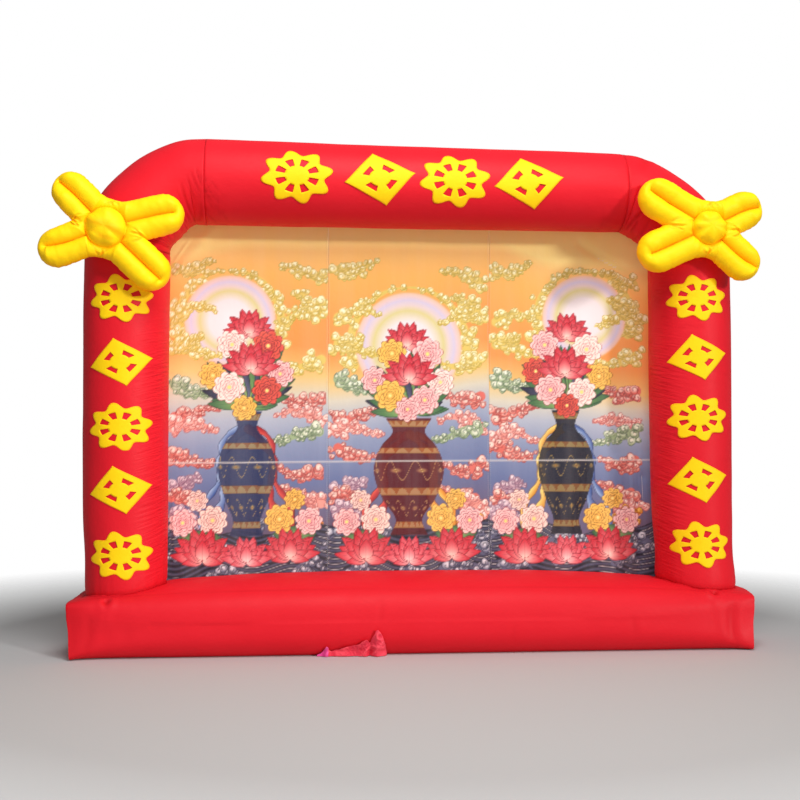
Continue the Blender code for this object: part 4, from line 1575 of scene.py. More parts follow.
    def vase(self, foot: Pair, height: float, outline: Sequence[Pair], inks: Inks, trim: Inks) -> None:
        """A glazed vase with painted bands.

        Args:
            foot: the middle of its foot.
            height: its height.
            outline: shares of the height, rising, and half widths there.
            inks: its glaze.
            trim: the bands' colours.
        """
        index, right, up = self.near((foot[0], foot[1] + height / 2), height * 0.56)
        share = (up + height / 2) / height
        inner = np.clip(share, 0, 1)
        half = Profile(outline).at(inner)
        past = np.maximum(np.abs(right) - half, height * np.abs(share - inner))
        round_side = right / np.maximum(half, 1e-3)
        cover = self.shape(index, past, 0.35 + 0.75 * np.abs(round_side + 0.35), inks)
        swing = np.arcsin(np.clip(round_side, -1, 1))
        for low, high in ((0.06, 0.11), (0.34, 0.40), (0.70, 0.745), (0.93, 0.98)):
            band = cover * (share > low) * (share < high)
            tooth = np.abs(np.sin(swing * 7)) * (high - low) + low
            shade = np.where((share < tooth)[:, None], np.asarray(trim.light), np.asarray(trim.body))
            self.lay(index, band, shade)
            for level in (low, high):
                self.lay(index, self.mark((share - level) * height, 0.003) * cover, trim.line)
        for low, high, count in ((0.13, 0.32, 5), (0.43, 0.67, 4)):
            # scrolls of leaf between the bands
            wave = low + (high - low) * (0.5 + 0.34 * np.sin(swing * 2 * count))
            inside = cover * (share > low) * (share < high)
            self.lay(index, self.mark((share - wave) * height, 0.006) * inside, trim.light)
            dots = np.hypot(((swing * count / math.pi) % 1.0 - 0.5) * 0.10,
                            (share - (low + high) / 2) * height)
            self.lay(index, np.clip(1.5 - dots / 0.018, 0, 1) * inside, trim.light)
            self.lay(index, np.clip(1.5 - dots / 0.007, 0, 1) * inside, trim.line)

    def waves(self, level: Callable[[Array], Array], floor: float, seed: int) -> None:
        """Dark water with curled crests, below a wavy level.

        Args:
            level: the water's height over x.
            floor: the lowest height it reaches.
            seed: fixes it.
        """
        depth = level(self.x) - self.z
        index = np.nonzero(depth > -0.02)[0]
        x, z, depth = self.x[index], self.z[index], depth[index]
        drift = Noise(seed)
        flow = z + 0.05 * np.sin(x * 9 + seed) + 0.03 * drift.plane(x * 5, z * 3)
        band = np.abs((flow / 0.050) % 1.0 - 0.5)
        self.shape(index, -depth, 1.2 - 2.2 * band, Inks((92, 94, 120), (26, 26, 40), (16, 16, 26)))
        crest = np.clip(1 - band * 0.050 / 0.008, 0, 1) * (drift.plane(x * 7, z * 9) > -0.1)
        self.lay(index, crest * (depth > 0.01) * 0.85, (214, 208, 206))
        rng = np.random.default_rng(seed)
        left, right = float(self.x.min()), float(self.x.max())
        for _ in range(12):
            x = rng.uniform(left, right)
            top = float(level(np.array([x]))[0])
            z = rng.uniform(floor, top)
            swing = rng.choice((-1, 1))
            way = [(x + swing * 0.26 * share, z + 0.07 * math.sin(3 * share)) for share in np.linspace(0, 1,
                                                                                                       6)]
            self.bank(way[::-1], 0.075, 15, Ink.SLATE.value, int(rng.integers(1 << 30)))


@dataclass(frozen=True)
class PanelPrint:
    """What one width of the backdrop shows: sky over water, a pale disc, clouds and a vase of flowers.

    Attributes:
        middle: the width's middle, as x.
        shift: how far its sky sits above its neighbours'.
        sun: the disc's sideways place, height and radius.
        vase: the vase's height and its outline.
        glaze: the vase's inks.
        trim: the inks of its bands.
        sashes: the inks of the ribbons at its neck.
        seed: fixes everything scattered.
    """

    middle: float
    shift: float
    sun: tuple[float, float, float]
    vase: tuple[float, Sequence[Pair]]
    glaze: Ink
    trim: Ink
    sashes: tuple[Ink, Ink]
    seed: int

    def paint(self, x: Array, z: Array) -> Array:
        """Paints the width.

        Args:
            x: the points' places across.
            z: the points' places up.

        Returns:
            A colour for each point, 0..255.
        """
        art = Print(x, z)
        low, high = 0.4 * self.shift, self.shift
        art.sky((
            (0.60, (52, 42, 60)), (0.95 + low, (98, 78, 98)), (1.20 + low, (104, 96, 126)),
            (1.50 + low, (104, 116, 156)), (1.85 + high, (140, 150, 178)), (2.08 + high, (178, 182, 194)),
            (2.26 + high, (216, 206, 184)),
            (2.44 + high, (238, 194, 116)), (2.70 + high, (240, 150, 74)), (3.00 + high, (244, 156, 76)),
            # the stops from 3.58 up are printed paler, painted light that offsets the header's shadow on the
            # cloth's top strip
            (3.35, (250, 182, 92)), (3.58, (252, 200, 116)), (3.68, (255, 226, 138)), (3.95, (255, 232, 140)),
        ), 0.02 * math.copysign(1, self.shift), self.seed)
        self.upper(art)
        self.lower(art)
        self.bouquet(art)
        return art.colour

    def streamer(self, art: Print, across: float, up: float, run: float, count: int, inks: Ink,
                 seed: int) -> None:
        """One bank of curls that trails off sideways."""
        start = self.middle + across
        way = [(start + run * share, up + 0.05 * math.sin(4 * share + seed)) for share in np.linspace(0, 1,
                                                                                                      9)]
        art.bank(way, 0.10, count, inks.value, self.seed + seed)

    def upper(self, art: Print) -> None:
        """The disc and the clouds round it."""
        side, height, radius = self.sun
        centre = (self.middle + side, height)
        arc = [
            (centre[0] + (radius + 0.05) * math.cos(angle), centre[1] + (radius + 0.05) * math.sin(angle))
            for angle in np.linspace(-0.35, math.pi + 0.35, 24)
        ]
        art.bank(arc[:13], 0.10, 52, Ink.CREAM.value, self.seed + 1)
        art.bank(arc[:11:-1], 0.10, 52, Ink.CREAM.value, self.seed + 2)
        art.disc(centre, radius, (
            (0.0, (238, 232, 232)), (0.46, (236, 224, 222)), (0.58, (226, 212, 180)), (0.66, (220, 206, 140)),
            (0.76, (228, 206, 200)), (0.86, (214, 200, 220)), (0.94, (236, 200, 190)), (1.0, (244, 196, 160)),
        ))
        for step, (across, up, run) in enumerate((
            (-0.66, 3.52, 0.36), (0.66, 3.44, -0.34), (-0.66, 3.02, 0.38), (0.68, 2.96, -0.40), (-0.66, 2.66,
                                                                                                 0.46),
            (0.68, 2.60, -0.44), (-0.62, 2.84, 0.20), (0.64, 3.20, -0.22),
        )):
            self.streamer(art, across, up + 0.05 * math.sin(self.seed + step), run, 34, Ink.CREAM, 10 + step)

    def lower(self, art: Print) -> None:
        """Clouds over the water, and the water."""
        rows = (
            (-0.66, 2.36, 0.40, Ink.SAGE), (0.68, 2.30, -0.42, Ink.ROSE), (-0.66, 2.14, 0.40, Ink.ROSE),
            (0.68, 2.06, -0.40, Ink.BLUSH), (-0.68, 1.92, 0.42, Ink.BLUSH), (0.66, 1.86, -0.44, Ink.SAGE),
            (-0.66, 1.70, 0.36, Ink.ROSE), (0.66, 1.62, -0.36, Ink.ROSE), (0.62, 1.40, -0.34, Ink.ROSE),
            (-0.64, 1.46, 0.24, Ink.MAUVE), (0.68, 1.24, -0.30, Ink.BLUSH), (-0.68, 1.26, 0.30, Ink.ROSE),
            (-0.66, 1.12, 0.36, Ink.MAUVE), (0.66, 1.10, -0.34, Ink.AMBER),
        )
        for step, (across, up, run, inks) in enumerate(rows):
            self.streamer(art, across, up + 0.05 * math.sin(2 * self.seed + step), run, 36, inks, 40 + step)
        art.waves(lambda x: 1.04 + 0.05 * np.sin(4.2 * x + self.seed) + 0.03 * np.sin(11 * x), 0.58,
                  self.seed + 60)

    def bouquet(self, art: Print) -> None:
        """The vase with its flowers and ribbons, among lotuses."""
        rng = np.random.default_rng(self.seed + 70)
        middle = self.middle
        tall, outline = self.vase
        foot = 0.98
        neck = foot + tall * 0.86
        for swing, inks in zip((-1, 1), self.sashes, strict=True):
            for reach, width in ((0.34, 0.030), (0.25, 0.042)):
                way = [
                    (middle + swing * (0.06 + reach * share**0.55 + 0.05 * math.sin(9 * share + reach * 20)),
                     neck - (neck - 1.02) * share)
                    for share in np.linspace(0, 1, 26)
                ]
                art.ribbon(way, width, inks.value)
        for across, up, radius in ((-0.42, 0.94, 0.20), (0.44, 0.98, 0.19)):
            art.pad((middle + across, up), radius, Ink.LEAF.value, 0.42)
        art.vase((middle, foot), tall, outline, self.glaze.value, self.trim.value)
        top = foot + tall
        for step in range(26):
            turn = math.pi * (0.02 + 0.96 * step / 25) + rng.uniform(-0.1, 0.1)
            size = rng.uniform(0.34, 0.52)
            art.petal((middle, top + 0.06), turn, size * (0.75 + 0.5 * math.sin(turn)), 0.05,
                      (Ink.LEAF, Ink.LEAF, Ink.NIGHT)[step % 3].value, 0.9)
        heads = (
            (0.0, 0.78, 0.15), (-0.17, 0.62, 0.14), (0.18, 0.60, 0.15), (-0.30, 0.36, 0.13), (0.31, 0.34,
                                                                                              0.13),
            (0.02, 0.44, 0.17), (-0.15, 0.20, 0.15), (0.17, 0.18, 0.14), (0.0, 0.06, 0.12),
        )
        kinds = (Ink.PEONY, Ink.BLUSH, Ink.CRIMSON, Ink.AMBER, Ink.PEONY)
        for step, (across, up, radius) in enumerate(heads):
            spot = (middle + across + rng.uniform(-0.03, 0.03), top + up + rng.uniform(-0.03, 0.03))
            if step in (0, 5):
                art.lotus((spot[0], spot[1] - 0.08), radius * 1.6, Ink.LOTUS.value)
            else:
                art.peony(spot, radius, kinds[(step + self.seed) % 5].value, self.seed + step)
        for step, (across, up, radius) in enumerate((
            (-0.58, 1.10, 0.13), (-0.31, 1.12, 0.14), (0.30, 1.13, 0.14), (0.57, 1.11, 0.13), (-0.45, 1.30,
                                                                                               0.10),
            (0.44, 1.31, 0.10),
        )):
            kind = (Ink.ROSE, Ink.AMBER, Ink.PEONY)[(step + self.seed) % 3]
            art.peony((middle + across, up), radius, kind.value, self.seed + 90 + step)
        for across, up, size, inks in ((-0.40, 0.76, 0.30, Ink.LOTUS), (0.40, 0.78, 0.28, Ink.LOTUS),
                                       (0.0, 0.74, 0.24, Ink.PEONY)):
            art.lotus((middle + across, up), size, inks.value)


TALL_VASE = ((0.0, 0.15), (0.10, 0.12), (0.28, 0.19), (0.58, 0.26), (0.74, 0.20), (0.86, 0.09), (1.0, 0.13))
URN = ((0.0, 0.17), (0.12, 0.12), (0.30, 0.24), (0.60, 0.32), (0.78, 0.24), (0.88, 0.15), (1.0, 0.21))
PANEL_PRINTS = (
    PanelPrint(-1.52, 0.04, (-0.16, 2.96, 0.42), (1.14, TALL_VASE), Ink.BLUE, Ink.AMBER,
               (Ink.BLUE, Ink.CRIMSON), 5),
    PanelPrint(-0.02, 0.08, (0.0, 2.74, 0.50), (1.08, URN), Ink.CRIMSON, Ink.GOLD, (Ink.CRIMSON, Ink.AMBER),
               17),
    PanelPrint(1.47, -0.04, (0.18, 3.02, 0.40), (1.16, TALL_VASE), Ink.NIGHT, Ink.AMBER,
               (Ink.GOLD, Ink.BLUE), 29),
)


# ---------------------------------------------------------------- backdrop


@dataclass
class Backdrop:
    """Three printed widths, joined edge to edge and sewn along the back half of the arch tube.

    Attributes:
        depth: how far back it hangs.
        joins: where the widths meet.
        cell: size of the cloth's cells.
        outer: its sides' mean place.
        drop_height: its mean height.
        cut_foot: height of its lower edge.
        cut_tall: from there to its upper edge.
        hem: how far a join's hems draw it back.
        seam_heights: height of the cross seam at the left, middle and right.
    """

    tube: ArchTube
    base: Base
    depth: float = 0.25
    joins: Pair = (-0.777, 0.738)
    gap: float = 0.0006
    half: float = 2.3
    billow: float = 0.035
    cell: float = 0.0098
    thickness: float = 0.0016
    outer: Pair = (-2.245, 2.235)
    drop_height: float = 3.25
    cut_foot: float = 0.62
    cut_tall: float = 3.1
    hem: float = 0.0014
    seam_heights: tuple = ((-1.9, 1.647), (0.0, 1.663), (1.96, 1.670))
    folds: Sequence = (
        ((1.75, 3.45), (2.28, 3.05), 0.055, 0.022), ((1.62, 3.72), (2.24, 3.30), 0.050, -0.020),
        ((1.95, 1.65), (2.06, 0.62), 0.075, 0.030), ((2.20, 1.50), (2.16, 0.62), 0.045, -0.024),
        ((1.60, 1.20), (1.78, 0.62), 0.070, -0.018), ((-2.26, 3.30), (-1.85, 3.80), 0.060, 0.018),
        ((-2.20, 1.20), (-2.10, 0.60), 0.060, 0.020), ((-0.60, 1.10), (-0.45, 0.64), 0.090, -0.014),
    )

    def opening(self) -> Array:
        """The tube's path as rows of (x, z, half its width where the cloth meets it)."""
        rows = []
        for side in (-1, 1):
            z = np.linspace(0.45, self.tube.post_top, 60)
            x, radius = self.tube.post_axis(side, z)
            rows.append(np.stack([x, z, radius], axis=1))
            rows.append(self.tube.elbow_axis(side)[::2])
        x = np.linspace(*self.tube.header_ends, 60)
        rows.append(np.stack([x, self.tube.header_axis(x), HEADER_RADII.at(x)], axis=1))
        table = np.vstack(rows)
        table[:, 2] = np.sqrt(table[:, 2] ** 2 - self.depth**2)
        return table

    def room(self, x: Array, z: Array) -> Array:
        """Distance of points from the tube, in the plane where the cloth meets it."""
        table = self.opening()
        room = np.full(x.shape, 9.0)
        for row_x, row_z, chord in table:
            room = np.minimum(room, np.hypot(x - row_x, z - row_z) - chord)
        return room

    def side_edge(self, side: int, z: Array) -> Array:
        """How far out the cloth reaches along a post."""
        axis, radius = self.tube.post_axis(side, np.minimum(z, self.tube.post_top))
        return axis - side * (np.sqrt(radius**2 - self.depth**2) + 0.001)

    def outline(self, x: Array) -> tuple[Array, Array]:
        """The cloth's lowest and highest height at each x.

        Args:
            x: places across.

        Returns:
            Bottom and top.
        """
        bottom = self.base.top(x,
                               np.full(x.shape, self.depth)) + 0.001 - 0.018 * ease((np.abs(x) - 1.7) / 0.4)
        heights = np.linspace(3.2, 4.1, 460)
        grid_x, grid_z = np.meshgrid(x, heights)
        room = self.room(grid_x, grid_z)
        blocked = (room < 0.001) & (grid_z > self.tube.post_top - 0.02)
        blocked[-1] = True
        top = heights[np.argmax(blocked, axis=0)]
        return bottom, top

    def drop(self, x: Array, z: Array, room: Array) -> Array:
        """The cloth's place front to back: hung flat, billowed a little, folded and puckered.

        Args:
            x: places across.
            z: heights.
            room: distance from the tube.

        Returns:
            y of each point.
        """
        across, up = x / self.half, np.clip((z - 0.65) / 3.2, 0, 1)
        y = self.depth + self.billow * (1 - across**4) * np.sin(math.pi * up)
        for start, end, width, height in self.folds:
            away, _ = from_line(x, z, start, end)
            y = y - height * bell(away, width) * np.maximum(0.0, 1 - across**20)
        y = y - self.wrinkles(x, z, room)
        return np.maximum(y, self.depth - 0.5 * np.maximum(room - 0.02, 0.0))

    def wrinkles(self, x: Array, z: Array, room: Array) -> Array:
        """Small folds: pulls off the tube, slack along the widths and puckers at the seams."""
        pulls, slack, fine = Noise(201), Noise(202), Noise(203)
        edge = np.where(np.abs(x) > 1.9, z, x) / 0.05
        lift = 0.004 * pulls.line(edge) * np.exp(-room / 0.10)
        lift = lift + 0.006 * slack.plane(x * 2.4, z * 0.7) + 0.0025 * fine.plane(x * 7.0, z * 2.0)
        for start, end, depth, width in (
            ((1.86, 3.36), (2.24, 3.16), 0.006, 0.014), ((1.80, 3.52), (2.20, 3.26), 0.005, 0.013),
            ((1.78, 3.62), (2.10, 3.46), 0.006, 0.012), ((1.90, 3.22), (2.24, 3.02), 0.005, 0.014),
            ((2.00, 2.92), (2.24, 2.78), 0.004, 0.016), ((1.98, 1.50), (2.04, 0.85), 0.007, 0.014),
            ((2.10, 1.60), (2.12, 0.90), 0.006, 0.013), ((2.18, 1.75), (2.19, 1.05), 0.004, 0.011),
            ((1.86, 1.10), (1.95, 0.70), 0.005, 0.014), ((-2.22, 3.46), (-2.06, 3.70), 0.005, 0.012),
            ((-2.21, 3.36), (-2.10, 3.50), 0.004, 0.010), ((-2.20, 1.50), (-2.17, 0.80), 0.005, 0.012),
            ((-2.12, 1.25), (-2.09, 0.85), 0.004, 0.012), ((-2.02, 1.10), (-2.03, 0.72), 0.003, 0.012),
            ((-0.50, 1.02), (-0.47, 0.70), 0.003, 0.014), ((0.30, 0.98), (0.34, 0.70), 0.003, 0.014),
        ):
            height, _ = Crease(start, end, -depth, width).relief(x, z)
            lift = lift + height
        seam = Seam(205, -0.0022, 0.006, 0.05, 0.0016, 0.05, 0.0, 0.05)
        return lift + seam.relief(z - self.seam_height(x), x)

    def seam_height(self, x: Array) -> Array:
        """Height of the cross seam."""
        return np.interp(x, [row[0] for row in self.seam_heights], [row[1] for row in self.seam_heights])

    def panel(self, name: str, start: float | None, end: float | None, art: PanelPrint) -> bpy.types.Object:
        """One width, printed in front and pale behind, with its hems folded in.

        Args:
            name: the object's name.
            start: its left edge, or none where it is sewn along the post.
            end: its right edge, or none.
            art: what it shows.

        Returns:
            The width of cloth.
        """
        left = self.outer[0] if start is None else start
        right = self.outer[1] if end is None else end
        columns = 2 * round((right - left) / self.cell / 2)
        rows = 2 * round(self.drop_height / self.cell / 2)
        share = np.linspace(0, 1, columns + 1)[None, :]
        up = np.linspace(0, 1, rows + 1)[:, None]

        def spread(z: Array) -> Array:
            """Places across at heights z: a sewn edge follows its post, and its elbow above that."""
            first = self.side_edge(-1, z) if start is None else start
            last = self.side_edge(1, z) if end is None else end
            return first + (last - first) * share + 0 * up

        x = spread(self.cut_foot + self.cut_tall * up + 0 * share)
        bottom, top = self.outline(x[0])
        z = bottom + (top - bottom) * up
        spots = np.linspace(left - 0.03, right + 0.03, 160)
        low, high = self.outline(spots)
        for _ in range(2):
            x = spread(z)
            bottom, top = np.interp(x, spots, low), np.interp(x, spots, high)
            z = bottom + (top - bottom) * up
        room = self.room(x, z)
        y = self.drop(x, z, room)
        hem = self.hem * (bell(x - left, 0.012) * (start is not None) + bell(x - right,
                                                                           0.012) * (end is not None))
        front = xyz(x, y - hem, z)
        colour = linear(art.paint(x, z))
        seam = bell(z - self.seam_height(x), 0.0065).ravel()[:, None]
        colour = colour * (1 - 0.65 * seam) + linear((236, 228, 220)) * 0.65 * seam
        back = front[::2, ::2] + np.array((0.0, self.thickness, 0.0))
        pale = colour.reshape(rows + 1, columns + 1,
                              3)[::2, ::2].reshape(-1, 3) * 0.5 + linear((238, 232, 226)) * 0.5
        return self.close(name, front, back, np.vstack([colour, pale]))

    def close(self, name: str, front: Array, back: Array, colours: Array) -> bpy.types.Object:
        """Joins the fine front and the coarser back round their edge.

        Args:
            name: the object's name.
            front: the front's points in rows and columns.
            back: every second of them, moved back.
            colours: the front's and then the back's.

        Returns:
            The closed sheet.
        """
        rows, columns = front.shape[:2]
        fine = np.arange(rows * columns).reshape(rows, columns)
        coarse = np.arange(back.shape[0] * back.shape[1]).reshape(back.shape[:2]) + rows * columns
        faces = cells(fine).tolist() + cells(coarse)[:, [0, 3, 2, 1]].tolist()
        rims = (
            (fine[0, ::-1], coarse[0, ::-1]), (fine[-1], coarse[-1]), (fine[:, 0], coarse[:, 0]),
            (fine[::-1, -1], coarse[::-1, -1]),
        )
        for edge, behind in rims:
            for step in range(len(behind) - 1):
                a, b, c = (int(edge[2 * step + k]) for k in range(3))
                d, e = int(behind[step]), int(behind[step + 1])
                faces += [(a, b, d), (b, e, d), (b, c, e)]
        points = np.vstack([front.reshape(-1, 3), back.reshape(-1, 3)])
        return new_object(name, points, faces, Finish.PRINTED.material, None, {"print": colours})

    def build(self) -> list[bpy.types.Object]:
        """Makes the three widths.

        Returns:
            Left, centre and right.
        """
        first, second = self.joins
        spans = ((None, first - self.gap / 2), (first + self.gap / 2, second - self.gap / 2),
                 (second + self.gap / 2, None))
        pieces = []
        for word, (start, end), art in zip(("left", "centre", "right"), spans, PANEL_PRINTS, strict=True):
            piece = self.panel(f"backdrop_{word}_cloth", start, end, art)
            fit_sheet(piece, f"backdrop_{word}", Held.STRETCHED)
            pieces.append(piece)
        return pieces


# ---------------------------------------------------------------- ornaments


@dataclass(frozen=True)
class Inflation:
    """Blows up a sewn cloth piece by simulation, from its flat pattern and about its stitched lines.

    Attributes:
        pressure: of the air.
        weight: of the cloth at each point.
        stiffness: against stretch.
        bending: against folding.
        frames: how long it settles.
        most: how far a point may move, in metres.
    """

    pressure: float = 30.0
    weight: float = 0.005
    stiffness: float = 60.0
    bending: float = 0.02
    frames: int = 20
    most: float = 0.020

    def weld(self, piece: bpy.types.Object) -> None:
        """Drops the piece's empty cells and joins the points that lie on one another."""
        mesh = bmesh.new()
        mesh.from_mesh(piece.data)
        empty = [face for face in mesh.faces if face.calc_area() < 1e-8]
        bmesh.ops.delete(mesh, geom=empty, context="FACES_ONLY")
        bmesh.ops.remove_doubles(mesh, verts=mesh.verts, dist=1e-5)
        mesh.to_mesh(piece.data)
        mesh.free()

    def run(self, piece: bpy.types.Object) -> None:
        """Welds the piece, simulates its cloth and keeps the last shape.

        Args:
            piece: the piece, with its flat pattern and its held points as attributes.
        """
        self.weld(piece)
        self.blow(piece)
        for name in ("pattern", "held"):
            piece.data.attributes.remove(piece.data.attributes[name])

    def blow(self, piece: bpy.types.Object) -> None:
        """Steps the cloth from its start to its rest."""
        data = piece.data
        count = len(data.vertices)
        pattern, held, start = np.empty(4 * count), np.empty(count), np.empty(3 * count)
        data.attributes["pattern"].data.foreach_get("color", pattern)
        data.attributes["held"].data.foreach_get("value", held)
        data.vertices.foreach_get("co", start)
        group = piece.vertex_groups.new(name="held")
        group.add(np.flatnonzero(held > 0.5).tolist(), 1.0, "REPLACE")
        piece.shape_key_add(name="blown")
        flat = piece.shape_key_add(name="flat")
        flat.data.foreach_set("co", pattern.reshape(-1, 4)[:, :3].ravel())
        flat.value = 0.0
        cloth = piece.modifiers.new("cloth", "CLOTH")
        settings = cloth.settings
        settings.quality = 6
        settings.mass = self.weight
        settings.tension_stiffness = settings.compression_stiffness = self.stiffness
        settings.shear_stiffness = self.stiffness / 3
        settings.bending_stiffness = self.bending
        settings.use_pressure = True
        settings.uniform_pressure_force = self.pressure
        settings.vertex_group_mass = "held"
        settings.rest_shape_key = flat
        settings.effector_weights.gravity = 0.0
        cloth.collision_settings.use_collision = False
        cloth.point_cache.frame_start = 1
        cloth.point_cache.frame_end = self.frames
        scene = bpy.context.scene
        for moment in range(1, self.frames + 1):
            scene.frame_set(moment)
        blown = piece.evaluated_get(bpy.context.evaluated_depsgraph_get()).data
        ended = np.empty(3 * count)
        blown.vertices.foreach_get("co", ended)
        piece.modifiers.remove(cloth)
        piece.shape_key_clear()
        scene.frame_set(1)
        way = (ended - start).reshape(-1, 3)
        length = np.linalg.norm(way, axis=1, keepdims=True)
        log.info("%s: the cloth moved %.1f mm at most, %.1f on average", piece.name,
                 1000 * float(length.max()),
                 1000 * float(length.mean()))
        way *= self.most * np.tanh(length / self.most) / np.maximum(length, 1e-9)
        data.vertices.foreach_set("co", start + way.ravel())
        data.update()


@dataclass(frozen=True)
class Lobe:
    """One lobe of an ornament.

    Attributes:
        u: its round end's centre, sideways from the dome's.
        w: the same upwards.
        radius: of its round end.
        past: how far past that centre its valley runs, in radii.
        off: how far the valley's tip lies off the lobe's axis.
    """

    u: float
    w: float
    radius: float
    past: float
    off: float

    @property
    def turn(self) -> float:
        """The way the lobe points."""
        return math.atan2(self.w, self.u) % math.tau

    @property
    def length(self) -> float:
        """How far out its round end's centre lies."""
        return math.hypot(self.u, self.w)

    def valley(self, along: float, collar: float) -> Array:
        """A point on its valley.

        Args:
            along: how far out it lies.
            collar: how far out the lobe stands free, where the valley leaves the axis.

        Returns:
            The point, sideways and up.
        """
        axis = np.array((math.cos(self.turn), math.sin(self.turn)))
        share = max(along - collar, 0.0) / (self.length + self.past * self.radius - collar)
        return axis * along + np.array((-axis[1], axis[0])) * self.off * share**2


@dataclass
class Ornament:
    """An inflated ornament: four lobes round a dome, each grooved down its middle.

    Attributes:
        word: left or right.
        centre: the dome's middle.
        dome: the dome's radius.
        sides: how many flat sides the dome has.
        lobes: its lobes.
        folds: creases of its own, by sideways and upward place.
        seed: fixes its gathers.
    """

    word: str
    centre: tuple[float, float, float]
    dome: float
    sides: int
    lobes: Sequence[Lobe]
    folds: Sequence[Crease]
    seed: int
    hub: float = 0.25
    blend: float = 0.22
    ridge_front: float = 0.120
    ridge_back: float = 0.085
    dome_front: float = 0.175
    groove: float = 0.44
    ring_groove: float = 0.74
    notch_width: float = 0.16
    slack: float = 1.06
    back_shares: Sequence[float] = (0.0, 0.12, 0.28, 0.44, 0.6, 0.74, 0.86, 0.94, 0.985)
    dome_rows: int = 14

    def inside(self, u: Array, w: Array) -> Array:
        """Above 0 inside the seam line, 0 on it."""
        lobes = np.full(np.shape(u), 9.0)
        for lobe in self.lobes:
            along = np.clip((u * lobe.u + w * lobe.w) / lobe.length, 0, lobe.length) / lobe.length
            lobes = np.minimum(lobes, np.hypot(u - lobe.u * along, w - lobe.w * along) / lobe.radius)
        hub = np.hypot(u, w) / self.hub
        mix = np.clip(0.5 + 0.5 * (lobes - hub) / self.blend, 0, 1)
        return 1 - (lobes * (1 - mix) + hub * mix - self.blend * mix * (1 - mix))

    def reach(self, start: Array, turn: float) -> Array:
        """Where a line from a point in one direction meets the seam.

        Args:
            start: the point, sideways and up.
            turn: the direction.

        Returns:
            The seam's point, sideways and up.
        """
        way = np.array((math.cos(turn), math.sin(turn)))
        steps = np.arange(1, 80) * 0.01
        outside = self.inside(*(start + steps[:, None] * way).T) <= 0
        high = float(steps[np.argmax(outside)])
        low = high - 0.01
        for _ in range(12):
            middle = (low + high) / 2
            low, high = (middle, high) if self.inside(*(start + middle * way)) > 0 else (low, middle)
        return start + low * way

    def notch(self, before: float, after: float) -> tuple[Array, float]:
        """The seam's nearest point to the middle between two lobes, and its direction."""
        turns = np.linspace(before + 0.3, after - 0.3, 61)
        points = [self.reach(np.zeros(2), turn) for turn in turns]
        return min(zip(points, turns, strict=True), key=lambda pair: float(np.hypot(*pair[0])))

    def half(self, lobe: Lobe, side: int, notch: tuple[Array, float],
             collar: float) -> list[tuple[Array, Array]]:
        """Columns from a notch to a lobe's round end.

        Args:
            lobe: the lobe.
            side: which of its sides.
            notch: the seam's point at the notch, and its direction.
            collar: how far out the lobe stands free.

        Returns:
            Pairs of the foot, in the valley or at the dome, and the seam's point.
        """
        turn, sideways = lobe.turn, lobe.turn + side * math.pi / 2
        shoulder = self.reach(lobe.valley(collar, collar), sideways)
        notch_turn = turn + (notch[1] - turn + math.pi) % math.tau - math.pi
        columns = []
        for share in np.linspace(0, 1, 27)[:-1]:
            near = notch[0] + (shoulder - notch[0]) * share
            rim = self.reach(np.zeros(2), math.atan2(near[1], near[0]))
            way = notch_turn + (turn - notch_turn) * min(share / 0.72, 1.0)
            far = self.dome + (collar - self.dome) * max(share - 0.72, 0.0) / 0.28
            columns.append((np.array((math.cos(way), math.sin(way))) * far, rim))
        middle = np.array((lobe.u, lobe.w))
        for along in np.linspace(collar, lobe.length, 15)[:-1]:
            columns.append((lobe.valley(along, collar), self.reach(middle * along / lobe.length, sideways)))
        for share in np.linspace(0, 1, 21):
            foot = lobe.valley(lobe.length + lobe.past * lobe.radius * float(ease(np.array(share * 2.0))),
                               collar)
            columns.append((foot, self.reach(middle, sideways - side * math.pi / 2 * share)))
        return columns

    def notches(self) -> list[tuple[Array, float]]:
        """The notches, each after the lobe of its index."""
        turns = [lobe.turn for lobe in self.ordered()]
        after = [*turns[1:], turns[0] + math.tau]
        return [self.notch(turn, following) for turn, following in zip(turns, after, strict=True)]

    def ordered(self) -> list[Lobe]:
        """The lobes, by the way they point."""
        return sorted(self.lobes, key=lambda lobe: lobe.turn)

    def columns(self) -> tuple[Array, Array]:
        """All columns round the ornament: the feet and the seam's points."""
        notches = self.notches()
        columns = []
        for index, lobe in enumerate(self.ordered()):
            before, behind = notches[index - 1], notches[index]
            axis = np.array((math.cos(lobe.turn), math.sin(lobe.turn)))
            collar = max(float(before[0] @ axis), float(behind[0] @ axis), self.dome) + 0.04
            columns += self.half(lobe, -1, before, collar)[:-1]
            columns += list(reversed(self.half(lobe, 1, behind, collar)))[:-1]
        return np.array([foot for foot, _ in columns]), np.array([rim for _, rim in columns])

    def rounding(self, feet: Array) -> Array:
        """Where a foot lies round the dome: 0 at a lobe's valley, 1 between two lobes."""
        angle = np.arctan2(feet[:, 1], feet[:, 0])
        away = [np.abs(wrapped(angle - lobe.turn)) for lobe in self.lobes]
        return ease(np.minimum.reduce(away) / 0.45)

    def ridge(self, share: float, width: Array, groove: Array) -> Array:
        """Height out of a full ridge's: share is 1 on the seam, 0 in the valley."""
        full = np.minimum(width / self.notch_width, 1.0) ** 0.8
        if share > 0.5:
            return full * math.sqrt(max(1 - (2 * share - 1) ** 2, 0.0))
        rise = (1 - (1 - 2 * share) ** 2.1) ** 0.66
        return full * (groove + (1 - groove) * rise)

